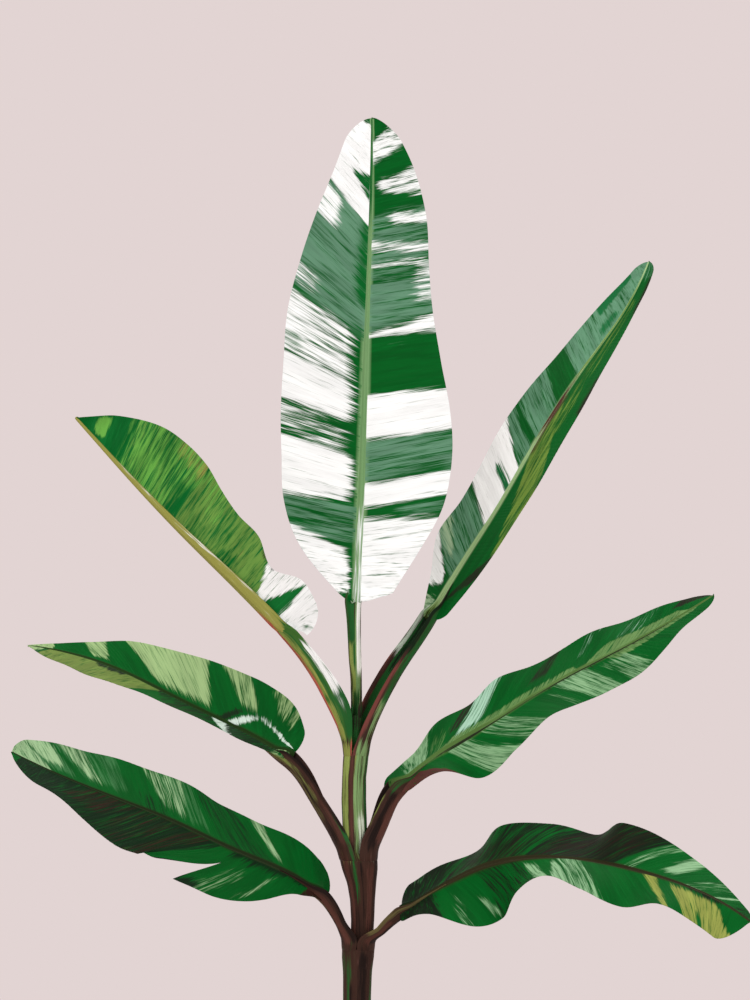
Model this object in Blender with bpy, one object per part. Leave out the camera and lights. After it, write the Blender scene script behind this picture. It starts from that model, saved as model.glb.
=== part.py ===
# A young variegated banana plant, rooted in the ground.
# Units are metres, +Z is up, and the origin is the middle of the flat cut at ground level.
# The plant is a pseudostem of wrapped leaf sheaths and seven leaves. Each leaf has a grooved
# stalk, seated on a shoulder of the pseudostem, and a thin blade with a thicker midrib.
# Angles are degrees. A heading is seen from above, counter-clockwise from +X, and a climb is
# the slope of the leaf's centre line above the horizontal. "Left" and "right" halves of a
# blade are those seen when looking out along the leaf, and a lift turns a half upwards.

import math

import bmesh
import bpy
from mathutils import Vector

# Clear gap under a stalk's foot, and between a stalk and its blade
GAP = 0.0003
BLADE_GAP = 0.0005

# How finely the stem, the blades and the stalks are divided
STEM_SIDES = 24
BLADE_ROWS = 21
BLADE_COLUMNS = 4
STALK_RINGS = 7
STALK_STEPS = 9

# Edges that bend more than this stay sharp
SHARP_ANGLE = 35.0

# Share of a blade's length that it is thick, and the share of its midrib left at the tip
BLADE_THICKNESS_SHARE = 0.0101
RIB_LEFT_AT_TIP = 0.25
RIB_SHARE_OF_WIDTH = 0.4

# A blade starts at a straight cut, a share of its width and never narrower than its midrib,
# and its veins turn from square to slanting over the first stretch
BASE_CUT_SHARE = 0.35
BASE_CUT_RIBS = 1.6
VEIN_FAN = 0.080
VEIN_ROOM_SHARE = 0.9

# Ripple of a blade's margin, and the share of a blade over which a tear's pull dies away
RIPPLE = 0.002
RIPPLES_PER_BLADE = 5.0
RIPPLE_START = 0.10
TEAR_PULL = 0.12

# Half-angle of the arc that a stalk's section covers near the blade, and its groove
STALK_WRAP = 100.0
GROOVE_WIDTH_SHARE = 0.55
GROOVE_DEPTH_SHARE = 0.45
SEAT_SHARE = 0.5

# Pseudostem: tiers of wrapped sheaths, each ending in a flat shoulder that carries leaves.
# Each ring is its height, the place of its middle along X and Y, and its radius.
GROUND_TIER = (
    (0.000, 0.0000, 0.000, 0.0260),
    (0.012, 0.0000, 0.000, 0.0232),
    (0.035, 0.0000, 0.000, 0.0205),
    (0.080, 0.0000, 0.000, 0.0180),
    (0.150, 0.0000, 0.000, 0.0166),
    (0.205, 0.0000, 0.000, 0.0163),
    (0.235, 0.0005, 0.000, 0.0168),
    (0.252, 0.0010, 0.000, 0.0185),
    (0.264, 0.0016, 0.000, 0.0202),
)
LOWER_TIER = (
    (0.264, 0.0060, 0.004, 0.0130),
    (0.300, 0.0070, 0.003, 0.0134),
    (0.325, 0.0069, 0.002, 0.0146),
    (0.345, 0.0060, 0.001, 0.0170),
    (0.362, 0.0038, 0.000, 0.0210),
    (0.376, 0.0020, 0.000, 0.0235),
)
UPPER_TIER = (
    (0.376, -0.0010, 0.000, 0.0135),
    (0.410, -0.0025, 0.000, 0.0148),
    (0.450, -0.0040, 0.000, 0.0150),
    (0.478, -0.0036, 0.000, 0.0145),
    (0.506, -0.0012, 0.000, 0.0156),
)
CORE_TIER = (
    (0.506, -0.0010, 0.000, 0.0072),
    (0.556, -0.0008, 0.000, 0.0070),
)
TIERS = (GROUND_TIER, LOWER_TIER, UPPER_TIER, CORE_TIER)


class Leaf:
    """One leaf's driving sizes; widths and lifts stand at even stations, base to tip."""

    def __init__(self, heading, foot, seat, seat_wrap, stalk_length, stalk_climb, stalk_half,
                 stalk_depth, blade_length, blade_climb, left_width, left_lift, right_width,
                 right_lift, colour, stalk_colour, roll=0.0, sweep=0.5, base_round=0.012,
                 tip_round=0.030, rib_half=0.006, rib_depth=0.010, left_lobe=0.0, right_lobe=0.0,
                 tear=None):
        self.heading = heading
        self.foot = foot
        self.seat = seat
        self.seat_wrap = seat_wrap
        self.stalk_length = stalk_length
        self.stalk_climb = stalk_climb
        self.stalk_half = stalk_half
        self.stalk_depth = stalk_depth
        self.blade_length = blade_length
        self.blade_climb = blade_climb
        self.width = {-1: left_width, 1: right_width}
        self.lift = {-1: left_lift, 1: right_lift}
        self.colour = colour
        self.stalk_colour = stalk_colour
        self.roll = roll
        self.sweep = sweep
        self.base_round = base_round
        self.tip_round = tip_round
        self.rib_half = rib_half
        self.rib_depth = rib_depth
        self.lobe = {-1: left_lobe, 1: right_lobe}
        self.tear = tear


class Tear:
    """A split in one half of a blade, from near the midrib out to the margin."""

    def __init__(self, side, station, root_column, gap, narrowing):
        self.side = side
        self.station = station
        self.root_column = root_column
        self.gap = gap
        self.narrowing = narrowing

    def opening(self, station, column):
        """How far a place beyond the split is pulled away from the flap, 0 to 1."""
        past = (station - self.station) / TEAR_PULL
        if column <= self.root_column or not 0 <= past < 1:
            return 0.0
        return (1 - past) * (column - self.root_column) / (BLADE_COLUMNS + 1 - self.root_column)


DEEP_GREEN = (0.012, 0.110, 0.030)
GREY_GREEN = (0.110, 0.260, 0.140)
FRESH_GREEN = (0.130, 0.300, 0.040)
PALE_CREAM = (0.700, 0.740, 0.640)
STEM_BROWN = (0.030, 0.014, 0.010)
STALK_MAROON = (0.075, 0.024, 0.020)
STALK_GREEN = (0.120, 0.200, 0.050)
BLADE_ROUGHNESS = 0.35
STALK_ROUGHNESS = 0.45
STEM_ROUGHNESS = 0.50

# Seats: the tier above the shoulder, and the inner and outer radius of the stalk's foot.
# A foot is where the leaf's centre line starts, and a stalk's half-width and depth are
# given at its foot and at the blade.
LEAVES = {
    "lower_left": Leaf(
        heading=212, foot=(-0.007, -0.006, 0.264), seat=(LOWER_TIER, 0.0137, 0.0240),
        seat_wrap=50, stalk_length=0.082, stalk_climb=(78, 64, 57, 50, 38),
        stalk_half=(0.0085, 0.0090), stalk_depth=(0.0175, 0.0140),
        blade_length=0.479, blade_climb=(36, 21, 24, 20, 21, 26),
        left_width=(0.018, 0.030, 0.057, 0.084, 0.096, 0.100, 0.083, 0.090, 0.066, 0.050, 0.040),
        left_lift=(-50, -52, -55, -52, -50, -50, -48, -46, -42, -38, -35),
        right_width=(0.050, 0.068, 0.069, 0.074, 0.074, 0.074, 0.072, 0.074, 0.061, 0.051, 0.024),
        right_lift=(55, 52, 46, 48, 50, 52, 48, 45, 45, 45, 47),
        colour=DEEP_GREEN, stalk_colour=STALK_MAROON, sweep=2.0, right_lobe=0.010,
        tear=Tear(side=-1, station=0.28, root_column=2, gap=0.030, narrowing=0.74)),
    "lower_right": Leaf(
        heading=325, foot=(0.0165, -0.0150, 0.264), seat=(LOWER_TIER, 0.0140, 0.0205),
        seat_wrap=30, stalk_length=0.068, stalk_climb=(76, 54, 40, 34, 32),
        stalk_half=(0.0080, 0.0085), stalk_depth=(0.0145, 0.0140),
        blade_length=0.539, blade_climb=(32, 26, 9, -3, -10, -17, -32),
        left_width=(0.044, 0.052, 0.061, 0.055, 0.057, 0.063, 0.057, 0.054, 0.045, 0.029, 0.012),
        left_lift=(50, 40, 32, 46, 40, 27, 65, 45, 32, 15, 15),
        right_width=(0.020, 0.040, 0.070, 0.071, 0.056, 0.056, 0.063, 0.058, 0.050, 0.045, 0.046),
        right_lift=(-40, -42, -80, -78, -45, -17, -27, -42, -28, -37, -50),
        colour=DEEP_GREEN, stalk_colour=STALK_MAROON),
    "middle_left": Leaf(
        heading=150, foot=(-0.013, 0.008, 0.376), seat=(UPPER_TIER, 0.0142, 0.0220),
        seat_wrap=62, stalk_length=0.152, stalk_climb=(73, 60, 55, 52, 33),
        stalk_half=(0.0120, 0.0105), stalk_depth=(0.0240, 0.0210),
        blade_length=0.415, blade_climb=(31, 22, 23, 22, 13, 6),
        left_width=(0.018, 0.042, 0.050, 0.054, 0.053, 0.053, 0.048, 0.045, 0.033, 0.023, 0.004),
        left_lift=(10, 3, 5, 5, 3, 0, -7, -15, -18, -20, -8),
        right_width=(0.037, 0.066, 0.072, 0.072, 0.070, 0.064, 0.056, 0.045, 0.028, 0.014, 0.003),
        right_lift=(45, 50, 55, 55, 52, 50, 47, 47, 42, 40, 33),
        colour=FRESH_GREEN, stalk_colour=STALK_MAROON),
    "middle_right": Leaf(
        heading=22, foot=(0.015, 0.006, 0.376), seat=(UPPER_TIER, 0.0142, 0.0250),
        seat_wrap=62, stalk_length=0.095, stalk_climb=(83, 73, 66, 63, 45),
        stalk_half=(0.0125, 0.0110), stalk_depth=(0.0270, 0.0245),
        blade_length=0.500, blade_climb=(44, 28, 30, 25, 26, 31),
        left_width=(0.024, 0.034, 0.050, 0.049, 0.057, 0.050, 0.052, 0.049, 0.042, 0.028, 0.012),
        left_lift=(35, 15, 32, 28, 38, 28, 30, 32, 30, 32, 32),
        right_width=(0.014, 0.035, 0.057, 0.060, 0.057, 0.052, 0.053, 0.048, 0.036, 0.020, 0.012),
        right_lift=(-30, -15, -60, -33, -23, -30, -40, -42, -35, -20, -27),
        colour=DEEP_GREEN, stalk_colour=STALK_MAROON),
    "upper_left": Leaf(
        heading=205, foot=(-0.011, -0.004, 0.506), seat=(CORE_TIER, 0.0080, 0.0150),
        seat_wrap=78, stalk_length=0.173, stalk_climb=(84, 66, 55, 46),
        stalk_half=(0.0110, 0.0100), stalk_depth=(0.0215, 0.0175),
        blade_length=0.394, blade_climb=(45, 42, 41, 43, 45, 46),
        left_width=(0.050, 0.059, 0.043, 0.060, 0.062, 0.070, 0.079, 0.079, 0.071, 0.046, 0.012),
        left_lift=(75, 75, 75, 70, 65),
        right_width=(0.030, 0.045, 0.042, 0.050, 0.052, 0.058, 0.066, 0.066, 0.058, 0.038, 0.010),
        right_lift=(50, 50, 50, 45, 40),
        colour=FRESH_GREEN, stalk_colour=STALK_GREEN, rib_half=0.008, rib_depth=0.016,
        left_lobe=0.014),
    "upper_right": Leaf(
        heading=38, foot=(0.009, 0.006, 0.506), seat=(CORE_TIER, 0.0080, 0.0150),
        seat_wrap=78, stalk_length=0.203, stalk_climb=(80, 66, 55, 48, 53),
        stalk_half=(0.0120, 0.0110), stalk_depth=(0.0220, 0.0190),
        blade_length=0.583, blade_climb=(54, 50, 54, 50, 47, 64),
        left_width=(0.012, 0.036, 0.060, 0.058, 0.062, 0.061, 0.060, 0.055, 0.051, 0.036, 0.014),
        left_lift=(17, 13, 20, 18, 16, 19, 17, 13, 13, 16, 12),
        right_width=(0.018, 0.035, 0.047, 0.050, 0.057, 0.052, 0.053, 0.043, 0.034, 0.024, 0.012),
        right_lift=(-22, -10, -3, 0, 2, 0, 2, 3, 5, 7, -10),
        colour=GREY_GREEN, stalk_colour=STALK_GREEN),
    "centre": Leaf(
        heading=74, foot=(-0.0008, 0.0, 0.556), seat=(None, 0.0020, 0.0070),
        seat_wrap=150, stalk_length=0.142, stalk_climb=(88, 93, 93, 80),
        stalk_half=(0.0070, 0.0068), stalk_depth=(0.0135, 0.0120),
        blade_length=0.613, blade_climb=(80, 81, 84, 82, 85, 89),
        left_width=(0.014, 0.073, 0.098, 0.104, 0.106, 0.105, 0.101, 0.088, 0.069, 0.046, 0.024),
        left_lift=(14, 12, 12, 10, 8),
        right_width=(0.040, 0.075, 0.106, 0.114, 0.110, 0.096, 0.084, 0.076, 0.071, 0.053, 0.022),
        right_lift=(14, 12, 12, 10, 8),
        colour=PALE_CREAM, stalk_colour=STALK_GREEN, roll=-16, right_lobe=-0.006),
}


def clear_scene():
    """Empty the scene of whatever a new file holds."""
    for old in list(bpy.data.objects):
        bpy.data.objects.remove(old, do_unlink=True)


def mix(a, b, share):
    return a + (b - a) * share


def ease(share):
    share = min(max(share, 0.0), 1.0)
    return share * share * (3 - 2 * share)


def even(values, place):
    """Smooth value at a place in 0..1, from values at even stations."""
    last = len(values) - 1
    scaled = min(max(place, 0.0), 1.0) * last
    index = min(int(scaled), last - 1)
    part = scaled - index
    low, high = values[index], values[index + 1]
    before = values[max(index - 1, 0)]
    after = values[min(index + 2, last)]
    low_slope = (high - before) / 2 if index else high - low
    high_slope = (after - low) / 2 if index < last - 1 else high - low
    square, cube = part * part, part * part * part
    return ((2 * cube - 3 * square + 1) * low + (cube - 2 * square + part) * low_slope
            + (3 * square - 2 * cube) * high + (cube - square) * high_slope)


def direction(heading, climb):
    """Unit vector out along a leaf."""
    turn, slope = math.radians(heading), math.radians(climb)
    return Vector((math.cos(slope) * math.cos(turn), math.cos(slope) * math.sin(turn),
                   math.sin(slope)))


class CentreLine:
    """A leaf's centre line from its foot, through its stalk, to its blade's tip."""

    STEP = 0.002

    def __init__(self, leaf):
        self.leaf = leaf
        self.length = leaf.stalk_length + leaf.blade_length
        self.count = round(self.length / self.STEP)
        self.step = self.length / self.count
        point = Vector(leaf.foot)
        self.points = [point.copy()]
        for index in range(self.count):
            point += direction(leaf.heading, self.climb((index + 0.5) * self.step)) * self.step
            self.points.append(point.copy())

    def climb(self, run):
        """Slope at a run from the foot."""
        leaf = self.leaf
        if run < leaf.stalk_length:
            return even(leaf.stalk_climb, run / leaf.stalk_length)
        return even(leaf.blade_climb, (run - leaf.stalk_length) / leaf.blade_length)

    def frame(self, run):
        """Point, way out, way to the right and way up off the leaf's face."""
        place = min(max(run / self.step, 0.0), self.count - 1e-9)
        index = int(place)
        point = self.points[index].lerp(self.points[index + 1], place - index)
        out = direction(self.leaf.heading, self.climb(run))
        turn = math.radians(self.leaf.heading)
        right = Vector((math.sin(turn), -math.cos(turn), 0))
        up = right.cross(out)
        roll = math.radians(self.leaf.roll)
        return (point, out, right * math.cos(roll) + up * math.sin(roll),
                up * math.cos(roll) - right * math.sin(roll))


def half_width(leaf, side, along):
    """Distance from the midrib to the margin, rounded off at the base and the tip."""
    base = min(max(along / leaf.base_round, 0.0), 1.0)
    tip = min(max((leaf.blade_length - along) / leaf.tip_round, 0.0), 1.0)
    width = even(leaf.width[side], along / leaf.blade_length)
    foot = max(BASE_CUT_SHARE * width, BASE_CUT_RIBS * leaf.rib_half)
    width = mix(foot, width, math.sqrt(1 - (1 - base) ** 2))
    return width * math.sqrt(1 - (1 - tip) ** 2)


def rib_half(leaf, along):
    """Half the midrib's width."""
    return leaf.rib_half * mix(1.0, RIB_LEFT_AT_TIP, along / leaf.blade_length)


def blade_point(line, side, along, away, share):
    """Point on a half blade, a way along the leaf and a way off its midrib."""
    leaf = line.leaf
    point, out, right, up = line.frame(leaf.stalk_length + along)
    place = along / leaf.blade_length
    lift = math.radians(even(leaf.lift[side], place))
    spread = right * (side * math.cos(lift)) + up * math.sin(lift)
    normal = up * math.cos(lift) - right * (side * math.sin(lift))
    wave = RIPPLE * share ** 2 * ease(place / RIPPLE_START)
    wave *= math.sin(2 * math.pi * RIPPLES_PER_BLADE * place + side)
    return point + spread * away + normal * wave


def vein_reach(leaf, side, start):
    """How much further along the leaf a vein ends than it starts."""
    wanted = leaf.sweep * half_width(leaf, side, start) * ease(start / VEIN_FAN)
    room = VEIN_ROOM_SHARE * (leaf.blade_length - start)
    if wanted <= 0 or room <= 0:
        return 0.0
    return wanted * room / (wanted + room)


def grid_place(leaf, side, start, column, flap):
    """Along, away and share of the width for one crossing of a vein and a column."""
    if column == 0:
        return start, 0.0, 0.0
    share = (column - 1) / BLADE_COLUMNS
    reach = vein_reach(leaf, side, start)
    width = half_width(leaf, side, start + reach)
    if leaf.tear and leaf.tear.side == side and not flap:
        opening = leaf.tear.opening(start / leaf.blade_length, column)
        reach += leaf.tear.gap * opening
        width *= mix(1.0, leaf.tear.narrowing, opening)
    rib = min(rib_half(leaf, start), RIB_SHARE_OF_WIDTH * width)
    lobe = leaf.lobe[side] * share ** 4 * max(1 - start / leaf.base_round, 0.0)
    return start + reach * share - lobe, mix(rib, width, share), share


def blade_stations(leaf):
    """Starts of the veins, closer together at the base and the tip."""
    stations = [0.5 - 0.5 * math.cos(math.pi * row / BLADE_ROWS) for row in range(BLADE_ROWS)]
    if leaf.tear:
        nearest = min(stations, key=lambda station: abs(station - leaf.tear.station))
        stations[stations.index(nearest)] = leaf.tear.station
    return stations


def blade_sheet(leaf, line):
    """The blade's middle surface and its midrib: veins crossed with columns, and a tip."""
    sheet = bmesh.new()
    made = {}
    midrib = []

    def corner(side, row, start, column, flap):
        torn = (leaf.tear is not None and leaf.tear.side == side and start == tear_start
                and column > leaf.tear.root_column)
        key = (side if column else 0, row, column, flap if torn else False)
        if key not in made:
            along, away, share = grid_place(leaf, side, start, column, flap and torn)
            made[key] = sheet.verts.new(blade_point(line, side, along, away, share))
            if column == 0:
                midrib.append((made[key], start))
        return made[key]

    stations = blade_stations(leaf)
    tear_start = leaf.tear.station * leaf.blade_length if leaf.tear else None
    starts = [station * leaf.blade_length for station in stations]
    tip = sheet.verts.new(blade_point(line, 1, leaf.blade_length, 0.0, 0.0))
    midrib.append((tip, leaf.blade_length))
    for side in (-1, 1):
        for row in range(len(starts)):
            for column in range(BLADE_COLUMNS + 1):
                near = corner(side, row, starts[row], column, False)
                near_out = corner(side, row, starts[row], column + 1, False)
                if row + 1 < len(starts):
                    far = corner(side, row + 1, starts[row + 1], column, True)
                    far_out = corner(side, row + 1, starts[row + 1], column + 1, True)
                    face = [near, near_out, far_out, far]
                else:
                    face = [near, near_out, tip]
                sheet.faces.new(face if side > 0 else face[::-1])
    sheet.verts.index_update()
    return sheet, [(vertex.index, start) for vertex, start in midrib]


def shade(thing):
    """Smooth the round faces and keep the sharp edges."""
    thing.data.shade_smooth()
    thing.data.set_sharp_from_angle(angle=math.radians(SHARP_ANGLE))


def new_object(name, mesh_maker, material):
    """Turn a bmesh into a named object with one material."""
    mesh = bpy.data.meshes.new(name)
    mesh_maker.to_mesh(mesh)
    mesh_maker.free()
    thing = bpy.data.objects.new(name, mesh)
    bpy.context.scene.collection.objects.link(thing)
    mesh.materials.append(material)
    return thing


def new_material(name, colour, roughness):
    """A plain plant surface."""
    material = bpy.data.materials.new(name)
    material.use_nodes = True
    shader = material.node_tree.nodes["Principled BSDF"]
    shader.inputs["Base Color"].default_value = (*colour, 1.0)
    shader.inputs["Roughness"].default_value = roughness
    shader.inputs["Metallic"].default_value = 0.0
    return material


def make_blade(name, leaf, line):
    """A thin blade, thickened along its midrib."""
    sheet, midrib = blade_sheet(leaf, line)
    material = new_material("blade_" + name + "_green", leaf.colour, BLADE_ROUGHNESS)
    blade = new_object("blade_" + name, sheet, material)
    thin = leaf.blade_length * BLADE_THICKNESS_SHARE
    group = blade.vertex_groups.new(name="midrib")
    group.add(range(len(blade.data.vertices)), thin / leaf.rib_depth, "REPLACE")
    for index, start in midrib:
        deep = mix(leaf.rib_depth, thin, start / leaf.blade_length)
        group.add([index], deep / leaf.rib_depth, "REPLACE")
    solid = blade.modifiers.new("thickness", "SOLIDIFY")
    solid.thickness = leaf.rib_depth
    solid.offset = 0.0
    solid.vertex_group = group.name
    solid.use_rim = True
    shade(blade)
    return blade


def stalk_section(leaf, line, share):
    """One crescent section of a stalk: its outer arc, then its inner arc back."""
    tier, seat_inner, seat_outer = leaf.seat
    growth = ease(share / SEAT_SHARE)
    half = mix(leaf.stalk_half[0], leaf.stalk_half[1], share)
    deep = mix(leaf.stalk_depth[0], leaf.stalk_depth[1], share)
    wrap = math.radians(mix(leaf.seat_wrap, STALK_WRAP, growth))
    back = deep / (1 - math.cos(math.radians(STALK_WRAP)))
    outer_half, outer_deep = mix(seat_outer, half, growth), mix(seat_outer, back, growth)
    inner_half = mix(seat_inner, half * GROOVE_WIDTH_SHARE, growth)
    inner_deep = mix(seat_inner, back * GROOVE_DEPTH_SHARE, growth)
    if share == 0:
        middle = Vector(leaf.foot)
        if tier:
            middle = Vector((tier[0][1], tier[0][2], tier[0][0]))
        middle.z += GAP
        turn = math.radians(leaf.heading)
        right = Vector((math.sin(turn), -math.cos(turn), 0))
        up = Vector((-math.cos(turn), -math.sin(turn), 0))
    else:
        run = share * leaf.stalk_length - (BLADE_GAP if share == 1 else 0)
        point, _, right, up = line.frame(run)
        seat_reach = 0.0
        if tier:
            offset = Vector(leaf.foot) - Vector((tier[0][1], tier[0][2], tier[0][0]))
            seat_reach = offset.length
        middle = point + up * mix(seat_reach, back - deep / 2, growth)
    outer, inner = [], []
    for step in range(STALK_STEPS + 1):
        angle = mix(-wrap, wrap, step / STALK_STEPS)
        outer.append(middle - up * (outer_deep * math.cos(angle))
                     + right * (outer_half * math.sin(angle)))
        inner.append(middle - up * (inner_deep * math.cos(angle))
                     + right * (inner_half * math.sin(angle)))
    return outer + inner[::-1]


def make_stalk(name, leaf, line):
    """A grooved stalk, from its sheath's seat on the pseudostem to its blade."""
    skin = bmesh.new()
    rings = []
    for ring in range(STALK_RINGS + 1):
        section = stalk_section(leaf, line, ring / STALK_RINGS)
        rings.append([skin.verts.new(point) for point in section])
    count = len(rings[0])
    for lower, upper in zip(rings, rings[1:]):
        for index in range(count):
            after = (index + 1) % count
            skin.faces.new((lower[index], lower[after], upper[after], upper[index]))
    for index in range(STALK_STEPS):
        for ring, turned in ((rings[0], True), (rings[-1], False)):
            cap = [ring[index], ring[index + 1], ring[count - 2 - index], ring[count - 1 - index]]
            skin.faces.new(cap[::-1] if turned else cap)
    bmesh.ops.recalc_face_normals(skin, faces=skin.faces)
    material = new_material("stalk_" + name + "_skin", leaf.stalk_colour, STALK_ROUGHNESS)
    stalk = new_object("stalk_" + name, skin, material)
    shade(stalk)
    return stalk


def make_pseudostem():
    """The stem of wrapped sheaths, from the flat cut at the ground to the top core."""
    skin = bmesh.new()
    rings = []
    for tier in TIERS:
        for height, middle_x, middle_y, radius in tier:
            ring = []
            for side in range(STEM_SIDES):
                angle = 2 * math.pi * side / STEM_SIDES
                ring.append(skin.verts.new((middle_x + radius * math.cos(angle),
                                            middle_y + radius * math.sin(angle), height)))
            rings.append(ring)
    for lower, upper in zip(rings, rings[1:]):
        for side in range(STEM_SIDES):
            after = (side + 1) % STEM_SIDES
            skin.faces.new((lower[side], lower[after], upper[after], upper[side]))
    skin.faces.new(rings[0][::-1])
    skin.faces.new(rings[-1])
    material = new_material("sheath_brown", STEM_BROWN, STEM_ROUGHNESS)
    stem = new_object("pseudostem", skin, material)
    shade(stem)
    return stem


def main():
    clear_scene()
    make_pseudostem()
    for name, leaf in LEAVES.items():
        line = CentreLine(leaf)
        make_stalk(name, leaf, line)
        make_blade(name, leaf, line)


main()
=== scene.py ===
# The look of a young variegated banana plant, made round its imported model.
# Units are metres, +Z is up, and the origin is the middle of the flat cut at ground level.
# Every blade and stalk follows the same rule as its solid, in finer steps and from the same
# sizes, but for a few that are fitted to the plant more finely. The "left" and "right" halves of
# a blade are those seen when looking out along the leaf. Side -1 is left and side 1 is right.

import math

import bpy
import numpy as np
from bpy.props import (FloatProperty, FloatVectorProperty, IntProperty, PointerProperty)
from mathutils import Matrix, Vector


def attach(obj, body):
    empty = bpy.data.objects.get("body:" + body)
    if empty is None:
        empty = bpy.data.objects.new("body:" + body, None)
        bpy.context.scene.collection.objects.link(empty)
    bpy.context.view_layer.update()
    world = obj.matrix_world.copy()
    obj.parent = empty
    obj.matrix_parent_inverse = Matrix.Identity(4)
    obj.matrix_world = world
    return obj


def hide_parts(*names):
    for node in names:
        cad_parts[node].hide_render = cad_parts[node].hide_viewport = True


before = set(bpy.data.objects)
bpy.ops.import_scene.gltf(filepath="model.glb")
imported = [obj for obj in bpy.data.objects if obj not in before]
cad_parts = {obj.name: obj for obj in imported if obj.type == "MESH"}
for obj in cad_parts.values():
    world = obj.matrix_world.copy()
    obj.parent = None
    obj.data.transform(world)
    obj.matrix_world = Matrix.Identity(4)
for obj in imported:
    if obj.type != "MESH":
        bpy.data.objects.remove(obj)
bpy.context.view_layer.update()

bl_info = {
    "name": "Variegated banana plant",
    "version": (1, 0, 0),
    "blender": (4, 5, 0),
    "location": "3D View > Sidebar > Banana plant",
    "description": "Makes the leaves, stalks and pseudostem of a variegated banana plant",
    "category": "Add Mesh",
}

BODY = "root"

# Sizes that the solids share ---------------------------------------------------------------
RIB_LEFT_AT_TIP = 0.25
RIB_SHARE_OF_WIDTH = 0.4
BASE_CUT_SHARE = 0.35        # half width where the rounded base starts, beside the full one
BASE_CUT_RIBS = 1.6          # or in half midribs, if that is more
VEIN_FAN = 0.080             # length in which the veins reach their full slant
VEIN_ROOM_SHARE = 0.9        # share of the blade ahead that a vein may reach
RIPPLES_PER_BLADE = 5.0
RIPPLE_START = 0.10
TEAR_PULL = 0.12             # share of the blade that is pulled away behind a tear
STALK_WRAP = 100.0           # degrees from a stalk's back round to its edge
SEAT_SHARE = 0.5             # share of a stalk in which it takes on its own section

# Tiers of the pseudostem's sheaths: rings as height, middle along X and Y, and radius
GROUND_TIER = (
    (0, 0, 0, .026), (.012, 0, 0, .0232), (.035, 0, 0, .0205), (.08, 0, 0, .018),
    (.15, 0, 0, .0166), (.205, 0, 0, .0163), (.235, .0005, 0, .0168), (.252, .001, 0, .0185),
    (.264, .0016, 0, .0202),
)
LOWER_TIER = (
    (.264, .006, .004, .013), (.3, .007, .003, .0134), (.325, .0069, .002, .0146),
    (.345, .006, .001, .017), (.362, .0038, 0, .021), (.376, .002, 0, .0235),
)
UPPER_TIER = (
    (.376, -.001, 0, .0135), (.41, -.0025, 0, .0148), (.45, -.004, 0, .015),
    (.478, -.0036, 0, .0145), (.506, -.0012, 0, .0156),
)
CORE_TIER = (
    (.506, -.001, 0, .0072), (.556, -.0008, 0, .007),
)
TIERS = (GROUND_TIER, LOWER_TIER, UPPER_TIER, CORE_TIER)

# Sizes of the finer meshes alone -----------------------------------------------------------
# Blades: tear and tuck, pleats, midrib and the keel under it. Lengths named RUN are those in
# which something grows, fades or sways.
TEAR_ROOT_SHARE = 0.25       # share of the half blade by the midrib that is not torn
FLAP_REACH, FLAP_FADE = 0.008, 1.5
TUCK_RUN = 0.040
PLEAT_DRIFT, PLEAT_DRIFT_RUN, PLEAT_DRIFT_SEED = 1.8, 0.031, 11  # in widths of a pleat
PLEAT_HEIGHTS, PLEAT_HEIGHT_TURNS, PLEAT_HEIGHT_SEED = (0.7, 1.3), 0.37, 5
FINE_PLEATS, FINE_PLEAT_HEIGHT = 3.1, 0.22  # beside one pleat
RELIEF_RUN, RELIEF_TURN, RELIEF_RISE = 0.030, 0.72, 0.6
RIB_PUFF, RIB_PUFF_REACH = 0.0008, 0.10     # how the blade stands up beside the midrib
MARGIN_THICKNESS = 0.6       # beside that at the midrib
KEEL_RUN, KEEL_AT_BASE, KEEL_AT_TIP = 0.030, 0.65, 0.0006
KEEL_RIBS = 1.15             # half width of the keel in half midribs
LEAST_RIB = 1e-5
CHANNEL_DEPTH, CHANNEL_HALF = 0.16, 0.7     # the midrib's channel, in half midribs
SHOULDER_HEIGHT, SHOULDER_PLACE, SHOULDER_WIDTH = 0.10, 0.85, 0.18
BASE_ROWS, TIP_ROWS = 10, 25  # rows of faces in the rounded ends
DEPTH_LEVELS = 200
WELD = 0.00002

# Stalks: the end under the blade, the wall and its ridges, and the seat on the sheath below
RUN_ON_SHARE = 0.15          # share of the blade that a stalk runs on under it
WING_RUN, WING_WRAP = 0.028, 70.0           # how its edges spread out there, in degrees
UNDER_BLADE = 0.0012         # how far under the blade's face they end
END_HALF = 0.8               # half width of the end in half midribs
EDGE_POWER, EDGE_WALL = 2.6, 0.12           # how the wall thins, and what is left at an edge
WALL_HALF, WALL_DEEP = 0.36, 0.50           # thickness beside the half width and the back
BACK_SHARE = 0.56            # share of the faces round a stalk that lie on its back
RIDGE_HEIGHT, RIDGE_TURN = 0.00016, 46
RIDGE_SWAY, RIDGE_WAVES, RIDGE_SEED = 3, 7, 3
SEAT_BLEND = 0.20            # share of a stalk in which it leaves the rim that it stands on
SEAT_PROUD, SEAT_INSET = 0.0002, 0.0009     # how far out of the rim it stands, and then inside
SEAT_SINK, SEAT_SINK_RUN = 0.003, 0.015
ROOTED_FROM, ROOTED_RUN = 0.02, 0.16        # where the sheath's tones give way to its own
RIM_TONE_DEPTH = 0.004       # how far below the rim those tones are taken
GROOVE_PLACE = 3             # added to places round a stalk that lie in its groove

# Pseudostem: tiers, sheaths, and two sets of fibres by height, number, sway, run and seed
TIER_SLOPE = 0.006
SHEATH_REACH, SHEATH_EDGE = 176.0, 5.0      # the most of half a turn, and edge, in degrees
SHEATH_TOP, SHEATH_TOP_RUN = 0.006, 0.010
SHEATH_LEVEL = 0.7           # how many sheath edges high the stem's own radius lies
RIM_RUN, FOOT_RUN = 0.012, 0.010
FIBRES = ((0.00016, 31, 2.2, 0.05, 21), (0.00012, 53, 3.1, 0.04, 22))
WART_HEIGHT = 0.0006

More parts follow.
